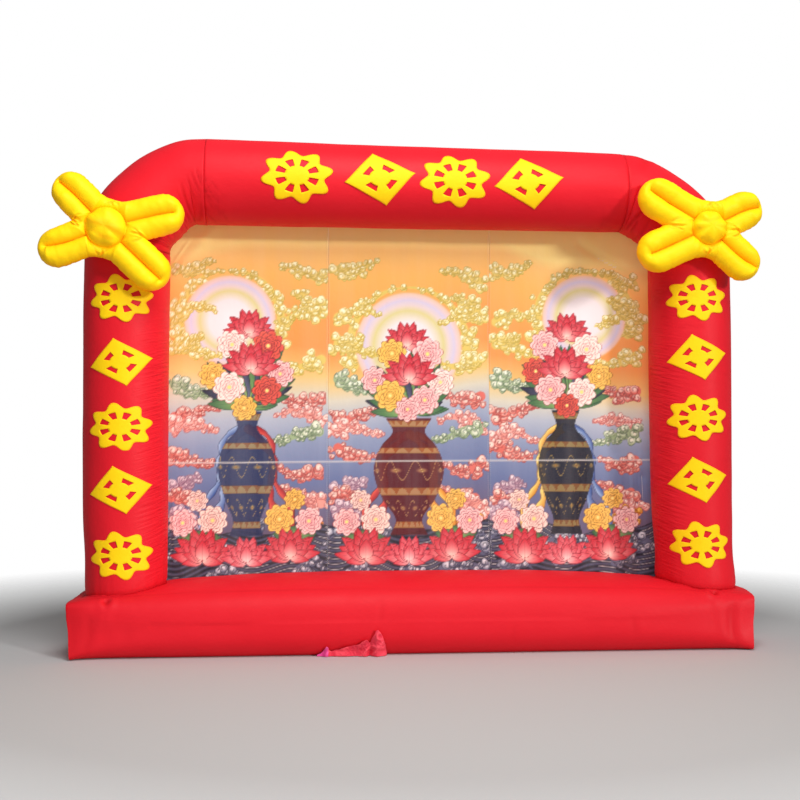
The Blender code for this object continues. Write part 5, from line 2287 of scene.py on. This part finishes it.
    def creases(self) -> list[Crease]:
        """Short creases that run from every notch towards the dome, and the ornament's own."""
        creases = list(self.folds)
        for point, turn in self.notches():
            depth = float(np.hypot(*point))
            for part, (swing, most,
                       start) in enumerate(((0.0, 0.013, 0.99), (0.24, 0.006, 0.94), (-0.27, 0.007, 0.93))):
                way = np.array((math.cos(turn + swing), math.sin(turn + swing)))
                foot = way * (self.dome + (0.25 + 0.1 * part) * (depth - self.dome))
                creases.append(Crease(tuple(point * start), tuple(foot), most, 0.008, 0.012 * (part - 1)))
        return creases

    def shell(self) -> tuple[Array, Array, Array]:
        """The ornament's rows, from the middle of its back over the seam to the top of its dome.

        Returns:
            The points, the flat pattern they're cut from, and the painted shade in the valleys, at the seam
            and in the creases.
        """
        feet, rims = self.columns()
        widths = np.hypot(*(rims - feet).T)
        for _ in range(3):
            widths = (np.roll(widths, 1) + 2 * widths + np.roll(widths, -1)) / 4
        steps = np.hypot(*(np.roll(rims, -1, 0) - rims).T)
        seam = running(steps)[:-1] / steps.sum()
        nap = Noise(self.seed)
        count = round(float(steps.sum()) / 0.026)
        pucker = nap.line(seam * count, count) * 0.6 + nap.line(seam * count * 2, count * 2) * 0.4
        coarse = Noise(self.seed + 1).line(seam * 46, 46)
        ring = self.rounding(feet)
        groove = self.groove + (self.ring_groove - self.groove) * ring
        front = [*(0.5 + 0.5 * np.cos(np.linspace(0, math.pi / 2, 13))), *np.linspace(0.5, 0, 14)[1:]]
        sides = [(-1, share) for share in self.back_shares]
        sides += [(1, float(share)) for share in front]
        rows, shades = [], []
        for side, share in sides:
            near_rim, near_valley = math.exp(-(1 - share) / 0.14), math.exp(-share / 0.10)
            height = self.ridge(share, widths, groove) * (self.ridge_front if side > 0 else self.ridge_back)
            height = height * (1 + (0.10 * pucker * near_rim + 0.07 * coarse) * (share < 0.999))
            height = height + 0.006 * pucker * near_valley * (share < 0.45)
            out = feet + (rims - feet) * share * (1 + 0.03 * pucker * near_rim)[:, None]
            rows.append(np.stack([out[:, 0], -side * height, out[:, 1]], axis=1))
            # painted shade, darkest in the valleys, weaker where they meet the dome, and along the seam
            shades.append((0.9 - 0.6 * ring) * near_valley + 0.5 * math.exp(-(1 - share) / 0.05))
        points = np.array(rows)
        seam_row = sides.index((1, 1.0))
        arcs = np.linalg.norm(np.diff(points, axis=0), axis=2)
        front_arcs = np.cumsum(arcs[seam_row:][::-1], axis=0)[::-1]
        back_arcs = np.cumsum(arcs[:seam_row], axis=0)
        back_arcs = np.vstack([0 * widths[None], back_arcs]) * (front_arcs[0] / back_arcs[-1])
        lengths = np.vstack([back_arcs[:-1], front_arcs, 0 * widths[None]]) * self.slack
        ways = (rims - feet) / np.maximum(np.hypot(*(rims - feet).T), 1e-6)[:, None]
        flat = feet + ways * lengths[..., None]
        full = np.minimum(widths / self.notch_width, 1.0) ** 0.8
        floor = self.ridge_front * groove * full
        pattern = np.stack([flat[..., 0], -floor + 0 * lengths, flat[..., 1]], axis=2)
        mouth = feet * np.minimum(self.dome / np.maximum(np.hypot(*feet.T), 1e-9), 1.0)[:, None]
        angle = np.arctan2(mouth[:, 1], mouth[:, 0])
        cap = []
        for share in np.cos(np.linspace(0, math.pi / 2, self.dome_rows + 1))[1:]:
            wave = 1 + 0.10 * np.cos(self.sides * angle + self.seed) * share**2 * (1 - share**8)
            rise = (1 - share**2.6) ** 0.6 * (1 + 0.09 * np.cos(self.sides * angle + self.seed) * share**2)
            height = floor + (self.dome_front - floor) * rise
            cap.append(np.stack([mouth[:, 0] * share * wave, -height, mouth[:, 1] * share * wave], axis=1))
            # painted shade round the foot of the dome
            shades.append((0.8 - 0.5 * ring) * math.exp(-(1 - share) / 0.07))
        points = np.concatenate([points, cap])
        pattern = np.concatenate([pattern, cap])
        front_side = points[..., 1] < -0.02
        relief, shade = 0 * points[..., 0], np.array(shades)
        # painted shade along the creases, on the front
        for crease in self.creases():
            lift, dark = crease.relief(points[..., 0], points[..., 2])
            relief, shade = relief + lift * front_side, shade + dark * front_side
        soft = Noise(self.seed + 5)
        x, _, z = np.moveaxis(points, 2, 0)
        relief = relief + 0.004 * soft.plane(x * 9, z * 9) + 0.0025 * soft.plane(x * 23, z * 23)
        points[..., 1] -= relief
        return points, pattern, np.clip(shade, 0, 1)

    def build(self) -> bpy.types.Object:
        """Makes the piece.

        Returns:
            The ornament.
        """
        points, pattern, shade = self.shell()
        skin = Skin(points + np.array(self.centre), wraps=True, capped=True)
        lengths = np.linalg.norm(np.diff(points, axis=0), axis=2).mean(axis=1)
        skin.along = running(lengths)
        skin.across = np.arange(points.shape[1]) * 0.011
        skin.colours["fold"] = shade
        skin.colours["pattern"] = pattern + np.array(self.centre)
        held = np.zeros(shade.shape)
        held[[0, -1 - self.dome_rows]] = 1
        skin.colours["held"] = held
        piece = skin.to_object(f"ornament_{self.word}_lobes", Finish.YELLOW.material)
        Inflation().run(piece)
        fit_padded(piece, f"ornament_{self.word}")
        return piece


LEFT_FOLDS = (
    Crease((-0.17, 0.05), (0.18, -0.07), -0.010, 0.030, 0.02),
    Crease((-0.12, -0.02), (0.10, -0.12), 0.006, 0.014, -0.02),
    Crease((-0.30, 0.10), (-0.20, 0.04), 0.012, 0.010),
    Crease((-0.30, 0.02), (-0.21, 0.0), 0.010, 0.010),
)
RIGHT_FOLDS = (
    Crease((-0.14, 0.05), (0.10, 0.09), 0.004, 0.012, -0.02),
    Crease((0.12, -0.10), (0.04, -0.14), 0.005, 0.010),
)
ORNAMENTS = (
    Ornament("left", (-2.684, -0.490, 3.660), 0.172, 5, (
        Lobe(-0.298, 0.314, 0.166, 0.66, 0.018), Lobe(0.478, 0.127, 0.175, 0.45, -0.010),
        Lobe(0.372, -0.360, 0.170, 0.60, 0.002), Lobe(-0.412, -0.174, 0.163, 0.42, -0.036)), LEFT_FOLDS, 301),
    Ornament("right", (2.589, -0.468, 3.746), 0.150, 7, (
        Lobe(-0.440, 0.262, 0.184, 0.54, -0.012), Lobe(0.339, 0.168, 0.170, 0.71, -0.031),
        Lobe(0.316, -0.294, 0.168, 0.71, 0.041), Lobe(-0.448, -0.208, 0.190, 0.40,
                                                      -0.004)), RIGHT_FOLDS, 331),
)


# ---------------------------------------------------------------- sewn-on cut-outs


class Figure(Enum):
    """The outlines that the cut-outs are cut to, and the sectors left open in them."""

    ROSETTE = (0, 2, 4, 6, 8, 10, 12, 14)
    LOZENGE = (1, 2, 5, 6, 9, 10, 13, 14)

    def radii(self, turn: Array) -> tuple[Array, Array, Array]:
        """Middle disc, inner side of the rim and outer edge at a turn, all out of 1.

        Args:
            turn: angles round the figure.

        Returns:
            Three radii for each angle.
        """
        if self is Figure.ROSETTE:
            return 0.34 + 0 * turn, 0.60 + 0 * turn, 0.88 + 0.12 * np.cos(8 * turn)
        reach = 1 / (np.abs(np.cos(turn)) ** 0.9 + np.abs(np.sin(turn)) ** 0.9)
        return 0.30 + 0 * turn, 0.66 * reach, reach


Lay = Callable[[Array, Array, float], Array]


@dataclass
class CutOuts:
    """Flat yellow cut-outs, sewn to the posts and the header.

    Attributes:
        tube: the tube they lie on.
        lift: how far they stand off it.
        thickness: of their cloth.
        sectors: parts of the figure.
        fine: columns in each sector.
    """

    tube: ArchTube
    lift: float = 0.0068
    thickness: float = 0.0016
    sectors: int = 16
    fine: int = 7
    post_half: Pair = (0.300, 0.212)
    header_half: Pair = (0.322, 0.252)
    left_heights: Sequence[float] = (0.862, 1.426, 1.967, 2.527, 3.081)
    right_heights: Sequence[float] = (0.918, 1.499, 2.055, 2.604, 3.138)
    post_turns: Pair = (0.0, -0.12)
    header_places: Sequence[float] = (-1.068, -0.337, 0.332, 1.000)

    def on_post(self, side: int, height: float, around: Array, up: Array, lift: float) -> Array:
        """Points on a post.

        Args:
            side: -1 on the left, 1 on the right.
            height: the cut-out's middle.
            around: metres round from its middle.
            up: metres up from it.
            lift: metres off the tube.

        Returns:
            Their places.
        """
        axis, radius = self.tube.post_axis(side, height + up)
        turn = around / radius + self.post_turns[side > 0]
        return xyz(axis + (radius + lift) * np.sin(turn), -(radius + lift) * np.cos(turn), height + up)

    def on_header(self, middle: float, along: Array, around: Array, lift: float) -> Array:
        """Points on the header: width runs along it and height round it."""
        x = middle + along
        radius = HEADER_RADII.at(x)
        turn = around / radius
        return xyz(x, -(radius + lift) * np.cos(turn),
                   self.tube.header_axis(x) + (radius + lift) * np.sin(turn))

    def cut(self, name: str, figure: Figure, half: Pair, lay: Lay, seed: int) -> bpy.types.Object:
        """One cut-out, front, back and every cut edge.

        Args:
            name: the object's name.
            figure: its outline.
            half: its half width and half height.
            lay: puts flat points on the tube at a lift.
            seed: fixes how it lies.

        Returns:
            The cut-out.
        """
        count = self.sectors * self.fine
        turn = (np.arange(count) / self.fine + 0.5) * math.tau / self.sectors
        disc, inner, outer = figure.radii(turn - math.pi / self.sectors)
        shares = [disc * k / 5 for k in range(1, 6)]
        bridge = [disc + (inner - disc) * k / 5 for k in range(1, 5)]
        rim = [inner + (outer - inner) * k / 6 for k in range(7)]
        reach = np.array([*shares, *bridge, *rim])
        lie = Noise(seed)
        flat_u, flat_w = half[0] * reach * np.cos(turn), half[1] * reach * np.sin(turn)
        rise = 0.0014 * lie.plane(flat_u * 14, flat_w * 14) + 0.0006 * lie.plane(flat_u * 50, flat_w * 50)
        edge = 0.0022 * bell(reach - outer[None, :], 0.05)
        points, faces = [], []
        last = reach.shape[0]
        for layer, lift in enumerate((self.lift, self.lift - self.thickness)):
            points.append(lay(flat_u, flat_w, lift + rise - edge).reshape(-1, 3))
            points.append(lay(np.zeros(1), np.zeros(1), np.array([lift])).reshape(-1, 3))
        size = last * count + 1
        open_columns = np.array([(column // self.fine) in figure.value for column in range(count)])
        for column in range(count):
            after = (column + 1) % count
            faces.append((size - 1, column, after))
            for row in range(last - 1):
                if open_columns[column] and 4 <= row < 9:
                    continue
                faces.append((row * count + column, (row + 1) * count + column, (row + 1) * count + after,
                              row * count + after))
        edges = dict.fromkeys(edge for face in faces for edge in zip(face, (*face[1:], face[0]), strict=True))
        walls = [(b, a, a + size, b + size) for a, b in edges if (b, a) not in edges]
        under = [tuple(corner + size for corner in reversed(face)) for face in faces]
        # painted shade along the outer edge, where it bends down to the tube
        fold = np.tile(np.append(bell(reach - outer[None, :], 0.03).ravel(), 0), 2)[:, None]
        everything = [*faces, *under, *walls]
        piece = new_object(name, np.vstack(points), everything, Finish.MOTIF.material, None, {"fold": fold})
        weave = piece.data.uv_layers.new(name="weave")
        flat = np.tile(np.vstack([np.stack([flat_u.ravel(), flat_w.ravel()], 1), np.zeros((1, 2))]), (2, 1))
        corners = np.empty(len(piece.data.loops), dtype=int)
        piece.data.loops.foreach_get("vertex_index", corners)
        weave.data.foreach_set("uv", flat[corners].astype(np.float32).ravel())
        if Vector(piece.data.polygons[0].normal).dot(Vector((0, -1, 0))) < 0:
            piece.data.flip_normals()
        return piece

    def places(self) -> list[tuple[str, Figure, Pair, Lay]]:
        """Every cut-out's node, figure, size and place."""
        rows = []
        figures = list(Figure)
        for side, word, heights in ((-1, "left", self.left_heights), (1, "right", self.right_heights)):
            for step, height in enumerate(heights):
                lay = partial(self.on_post, side, height)
                rows.append((f"post_motif_{word}_{step + 1}", figures[step % 2], self.post_half, lay))
        for step, middle in enumerate(self.header_places):
            lay = partial(self.on_header, middle)
            rows.append((f"header_motif_{step + 1}", figures[step % 2], self.header_half, lay))
        return rows

    def edge_stitches(self) -> list[tuple[Array, Array]]:
        """Lines just inside every outer edge, and the way the cloth faces there."""
        lines = []
        for _, figure, half, lay in self.places():
            turn = np.linspace(0, math.tau, 181)
            reach = figure.radii(turn - math.pi / self.sectors)[2] - 0.035
            u, w = half[0] * reach * np.cos(turn), half[1] * reach * np.sin(turn)
            low, high = lay(u, w, self.lift + 0.0004), lay(u, w, self.lift + 0.0104)
            lines.append((low, (high - low) / 0.01))
        return lines

    def build(self) -> list[bpy.types.Object]:
        """Makes every cut-out.

        Returns:
            The cut-outs.
        """
        pieces = []
        for step, (node, figure, half, lay) in enumerate(self.places()):
            piece = self.cut(f"{node}_cloth", figure, half, lay, 400 + step)
            fit_sheet(piece, node, Held.STRETCHED)
            pieces.append(piece)
        return pieces


# ---------------------------------------------------------------- flap


# each row: a place across the flap, how high its edge reaches, how far it stands out
FLAP_FOLDS = Profile((
    (-0.885, 0.012, 0.004), (-0.843, 0.030, 0.010), (-0.802, 0.085, 0.035), (-0.770, 0.045, 0.014),
    (-0.718, 0.055, 0.022), (-0.635, 0.078, 0.034), (-0.552, 0.100, 0.022), (-0.500, 0.125, 0.040),
    (-0.462, 0.152, 0.050), (-0.428, 0.118, 0.008), (-0.405, 0.185, 0.040), (-0.368, 0.228, 0.066),
    (-0.335, 0.192, 0.048), (-0.300, 0.090, 0.026), (-0.285, 0.030, 0.010),
))


@dataclass
class Flap:
    """The loose, crumpled tongue of cloth at the foot of the base."""

    base: Base
    span: Pair = (-0.885, -0.285)
    columns: int = 172
    rows: int = 42
    thickness: float = 0.0012
    tip: float = -0.785

    def build(self) -> bpy.types.Object:
        """Makes the piece.

        Returns:
            The flap.
        """
        x = np.linspace(*self.span, self.columns)[None, :] + np.zeros((self.rows, 1))
        up = np.linspace(0, 1, self.rows)[:, None] + 0 * x
        crumple, fine = Noise(501), Noise(502)
        top = FLAP_FOLDS.at(x, 1) * (1 + 0.06 * crumple.line(x * 40))
        z = 0.004 + top * up
        sharp = (1 - np.abs(crumple.plane(x * 13 - z * 9, z * 15 + x * 5))) ** 3
        small = (1 - np.abs(fine.plane(x * 34 + z * 22, z * 30 - x * 8))) ** 3
        lean = (0.016 * sharp + 0.006 * small) * np.minimum(top / 0.08, 1) * ease(up * 4)
        out = FLAP_FOLDS.at(x, 2) * (1 - 0.8 * up) + lean
        y = self.base.front(x, np.maximum(z, 0.05)) - 0.012 - out
        skin = Skin(xyz(x + 0.004 * small * up, y, z))
        skin.across, skin.along = x[0], np.linspace(0, 0.2, self.rows)
        # painted shade: darker between the sharp ridges of the crumple, lighter on them
        skin.colours["fold"] = np.clip(0.75 - 0.9 * sharp - 0.3 * small, 0, 1)
        piece = skin.to_object("front_flap_cloth", Finish.FLAP.material)
        piece.data.materials.append(Finish.FLAP_TIP.material)
        for face in piece.data.polygons:
            face.material_index = int(face.center.x < self.tip)
        thicken = piece.modifiers.new("thickness", "SOLIDIFY")
        thicken.thickness = self.thickness
        thicken.offset = 0.0
        fit_sheet(piece, "front_flap", Held.DRAPED)
        return piece


# ---------------------------------------------------------------- stitches


@dataclass
class StitchRows:
    """Rows of stitches laid along lines by a node tree.

    Attributes:
        pitch: distance from stitch to stitch.
        length: of a stitch.
        width: of its thread.
    """

    pitch: float = 0.020
    length: float = 0.013
    width: float = 0.0022

    def tree(self) -> bpy.types.NodeTree:
        """The node tree: lines in, stitches out.

        Returns:
            The tree, with its sizes as named inputs.
        """
        tree = bpy.data.node_groups.new("stitch_rows", "GeometryNodeTree")
        face = tree.interface
        face.new_socket("Lines", in_out="INPUT", socket_type="NodeSocketGeometry")
        for name, value in (("Pitch", self.pitch), ("Length", self.length), ("Width", self.width)):
            socket = face.new_socket(name, in_out="INPUT", socket_type="NodeSocketFloat")
            socket.default_value = value
        face.new_socket("Thread", in_out="INPUT", socket_type="NodeSocketMaterial")
        face.new_socket("Stitches", in_out="OUTPUT", socket_type="NodeSocketGeometry")
        add = partial(add_node, tree)
        given = add("NodeGroupInput").outputs
        curve = add("GeometryNodeMeshToCurve", None, {"Mesh": given["Lines"]}).outputs[0]
        even = add("GeometryNodeResampleCurve", {"mode": "LENGTH"},
                   {"Curve": curve, "Length": given["Pitch"]})
        facing = add("GeometryNodeInputNamedAttribute", {"data_type": "FLOAT_VECTOR"}, {"Name": "facing"})
        along = add("GeometryNodeInputTangent").outputs[0]
        turn = add("FunctionNodeAxesToRotation", {"primary_axis": "Z", "secondary_axis": "X"},
                   {0: facing.outputs[0], 1: along}).outputs[0]
        bead = add("GeometryNodeMeshIcoSphere", None, {"Radius": 0.5, "Subdivisions": 1}).outputs[0]
        size = add("ShaderNodeCombineXYZ", None,
                   {"X": given["Length"], "Y": given["Width"], "Z": given["Width"]})
        laid = add("GeometryNodeInstanceOnPoints", None,
                   {"Points": even.outputs[0], "Instance": bead, "Rotation": turn, "Scale": size.outputs[0]})
        real = add("GeometryNodeRealizeInstances", None, {"Geometry": laid.outputs[0]})
        dressed = add("GeometryNodeSetMaterial", None,
                      {"Geometry": real.outputs[0], "Material": given["Thread"]})
        tree.links.new(dressed.outputs[0], add("NodeGroupOutput").inputs[0])
        return tree

    def build(self, name: str, lines: Sequence[tuple[Array, Array]], slot: str,
              thread: bpy.types.Material) -> bpy.types.Object:
        """Lays stitches along lines.

        Args:
            name: the object's name.
            lines: points of each line, and the way the cloth faces at them.
            slot: the record's finish; not used.
            thread: the thread's finish.

        Returns:
            The stitches as one mesh.
        """
        points = np.vstack([line for line, _ in lines])
        facing = np.vstack([way for _, way in lines])
        edges, start = [], 0
        for line, _ in lines:
            edges += [(start + step, start + step + 1) for step in range(len(line) - 1)]
            start += len(line)
        mesh = bpy.data.meshes.new(name + "_lines")
        mesh.from_pydata(points.tolist(), edges, [])
        layer = mesh.attributes.new("facing", "FLOAT_VECTOR", "POINT")
        layer.data.foreach_set("vector", facing.astype(np.float32).ravel())
        guide = bpy.data.objects.new(name + "_lines", mesh)
        looks_collection().objects.link(guide)
        tree = bpy.data.node_groups.get("stitch_rows") or self.tree()
        laying = guide.modifiers.new("stitches", "NODES")
        laying.node_group = tree
        sockets = [item for item in tree.interface.items_tree if item.item_type == "SOCKET"]
        names = {item.name: item.identifier for item in sockets}
        for key, value in (("Pitch", self.pitch), ("Length", self.length), ("Width", self.width),
                           ("Thread", thread)):
            laying[names[key]] = value
        bpy.context.view_layer.update()
        made = bpy.data.meshes.new_from_object(guide.evaluated_get(bpy.context.evaluated_depsgraph_get()))
        bpy.data.objects.remove(guide)
        made.name = name
        made.shade_smooth()
        piece = bpy.data.objects.new(name, made)
        looks_collection().objects.link(piece)
        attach(piece, BODY)
        return piece


@dataclass
class Stitching:
    """Every visible row of stitches on the arch."""

    tube: ArchTube
    backdrop: Backdrop
    cut_outs: CutOuts
    beside_seam: float = 0.018
    beside_join: float = 0.012
    join_span: Pair = (0.72, 3.78)
    cross_span: Pair = (-2.22, 2.18)

    def ring(self, centre: Array, out: Array, side: Array, radius: float) -> tuple[Array, Array]:
        """A ring round the tube, and the way the cloth faces on it."""
        turn = np.linspace(0, math.tau, 145)[:, None]
        facing = np.cos(turn) * side + np.sin(turn) * out
        return centre + facing * radius, facing

    def tube_lines(self) -> list[tuple[Array, Array]]:
        """Rings on each side of the tube's four cross seams."""
        lines = []
        for side in (-1, 1):
            axis, radius = self.tube.post_axis(side, np.array(self.tube.post_top))
            for shift in (-self.beside_seam, self.beside_seam):
                centre = np.array((float(axis), 0.0, self.tube.post_top + shift))
                lines.append(self.ring(centre, np.array((1.0, 0.0, 0.0)), FORWARD, float(radius) - 0.0022))
            end = self.tube.header_ends[side > 0]
            for shift in (-self.beside_seam, self.beside_seam):
                x = end + shift
                centre = np.array((x, 0.0, float(self.tube.header_axis(x))))
                reach = float(HEADER_RADII.at(np.array(end))) - 0.0026
                lines.append(self.ring(centre, np.array((0.0, 0.0, 1.0)), FORWARD, reach))
        return lines

    def cloth_line(self, x: Array, z: Array, off: float) -> tuple[Array, Array]:
        """A line just off the backdrop's front, and the way the cloth faces on it."""
        y = self.backdrop.drop(x, z, self.backdrop.room(x, z)) - off
        return xyz(x, y, z), np.tile(FORWARD, (len(z), 1))

    def cloth_lines(self) -> list[tuple[Array, Array]]:
        """Lines beside the backdrop's joins and along its cross seam."""
        lines = []
        for join in self.backdrop.joins:
            for shift in (-self.beside_join, self.beside_join):
                z = np.linspace(*self.join_span, 320)
                lines.append(self.cloth_line(np.full(z.shape, join + shift), z, 0.0012))
        x = np.linspace(*self.cross_span, 440)
        return [*lines, self.cloth_line(x, self.backdrop.seam_height(x), 0.0010)]

    def build(self) -> list[bpy.types.Object]:
        """Lays them all.

        Returns:
            One piece for each thread.
        """
        rows = StitchRows()
        return [
            rows.build("cut_out_stitches", self.cut_outs.edge_stitches(), "yellow_cloth",
                       Finish.YELLOW_THREAD.material),
            rows.build("tube_stitches", self.tube_lines(), "red_cloth", Finish.RED_THREAD.material),
            rows.build("backdrop_stitches", self.cloth_lines(), "printed_cloth", Finish.PALE_THREAD.material),
        ]


# ---------------------------------------------------------------- studio


@dataclass
class Studio:
    """Camera, floor and soft light."""

    camera_place: tuple[float, float, float] = (-1.0378, -10.5003, 1.8125)
    pitch: float = 0.0388
    yaw: float = -0.0865
    lens: float = 52.09
    surround: float = 0.22
    key: float = 1.4
    front: float = 80.0
    overhead: float = 640.0
    floor_reach: float = 40.0
    floor_rows: int = 9
    floor_drop: float = 0.0005

    def camera(self) -> None:
        """Puts up the camera."""
        data = bpy.data.cameras.new("camera")
        data.lens = self.lens
        data.sensor_width = 36.0
        data.clip_end = 200.0
        camera = bpy.data.objects.new("camera", data)
        camera.location = self.camera_place
        camera.rotation_euler = (math.pi / 2 + self.pitch, 0.0, self.yaw)
        bpy.context.scene.collection.objects.link(camera)
        bpy.context.scene.camera = camera

    def lamp(self, name: str, kind: str, place: Sequence[float], aim: Sequence[float], power: float,
             size: float) -> None:
        """Hangs one lamp.

        Args:
            name: its name.
            kind: AREA or SUN.
            place: where it hangs.
            aim: the point it faces.
            power: in watts, or in watts a square metre for a sun.
            size: the area's side in metres, or the sun's width in degrees.
        """
        data = bpy.data.lights.new(name, kind)
        if kind == "AREA":
            data.size = size
        else:
            data.angle = math.radians(size)
        data.energy = power
        lamp = bpy.data.objects.new(name, data)
        lamp.location = place
        lamp.rotation_euler = (Vector(aim) - Vector(place)).to_track_quat("-Z", "Y").to_euler()
        bpy.context.scene.collection.objects.link(lamp)

    def light(self) -> None:
        """Lights the arch from its upper right front and from above, in a bright surround."""
        world = bpy.data.worlds.new("surround")
        world.use_nodes = True
        tree = world.node_tree
        white = (1.0, 1.0, 1.0, 1.0)
        lit = tree.nodes["Background"]
        lit.inputs["Color"].default_value = white
        lit.inputs["Strength"].default_value = self.surround
        backing = add_node(tree, "ShaderNodeBackground", None, {"Color": white})
        seen = add_node(tree, "ShaderNodeLightPath").outputs["Is Camera Ray"]
        mix = add_node(tree, "ShaderNodeMixShader", None, {0: seen, 1: lit.outputs[0], 2: backing.outputs[0]})
        tree.links.new(mix.outputs[0], tree.nodes["World Output"].inputs[0])
        bpy.context.scene.world = world
        self.lamp("key", "SUN", (5.9, -7.2, 4.1), (0.0, 0.0, 2.0), self.key, 6.0)
        self.lamp("front", "AREA", (-1.5, -10.0, 4.5), (0.0, 0.0, 2.5), self.front, 7.0)
        self.lamp("overhead", "AREA", (0.5, -6.0, 9.5), (0.0, 0.0, 2.5), self.overhead, 5.0)

    def floor(self) -> None:
        """Lays the floor, with its edge far off."""
        side = np.linspace(-self.floor_reach, self.floor_reach, self.floor_rows)
        points = xyz(side[None, :], side[:, None], -self.floor_drop).reshape(-1, 3)
        faces = cells(np.arange(self.floor_rows**2).reshape(self.floor_rows, -1))
        new_object("studio_floor", points, faces.tolist(), Finish.FLOOR.material)

    def build(self) -> None:
        """Sets up camera, light and floor."""
        self.camera()
        self.light()
        self.floor()
        settings = bpy.context.scene.view_settings
        settings.view_transform = "Standard"
        settings.look = "None"


def main() -> None:
    """Builds the arch's looks in order and reports each piece."""
    logging.basicConfig(level=logging.INFO, format="%(message)s")
    log.info("finishes: %s", ", ".join(finish.material.name for finish in Finish))
    base = Base()
    tube = ArchTube()
    backdrop = Backdrop(tube, base)
    cut_outs = CutOuts(tube)
    Studio().build()
    pieces = [base.build(), *tube.build(base), *backdrop.build()]
    pieces += [ornament.build() for ornament in ORNAMENTS]
    pieces += cut_outs.build()
    pieces.append(Flap(base).build())
    pieces += Stitching(tube, backdrop, cut_outs).build()
    for piece in pieces:
        log.info("%s: %d faces", piece.name, len(piece.data.polygons))


if __name__ == "__main__":
    main()
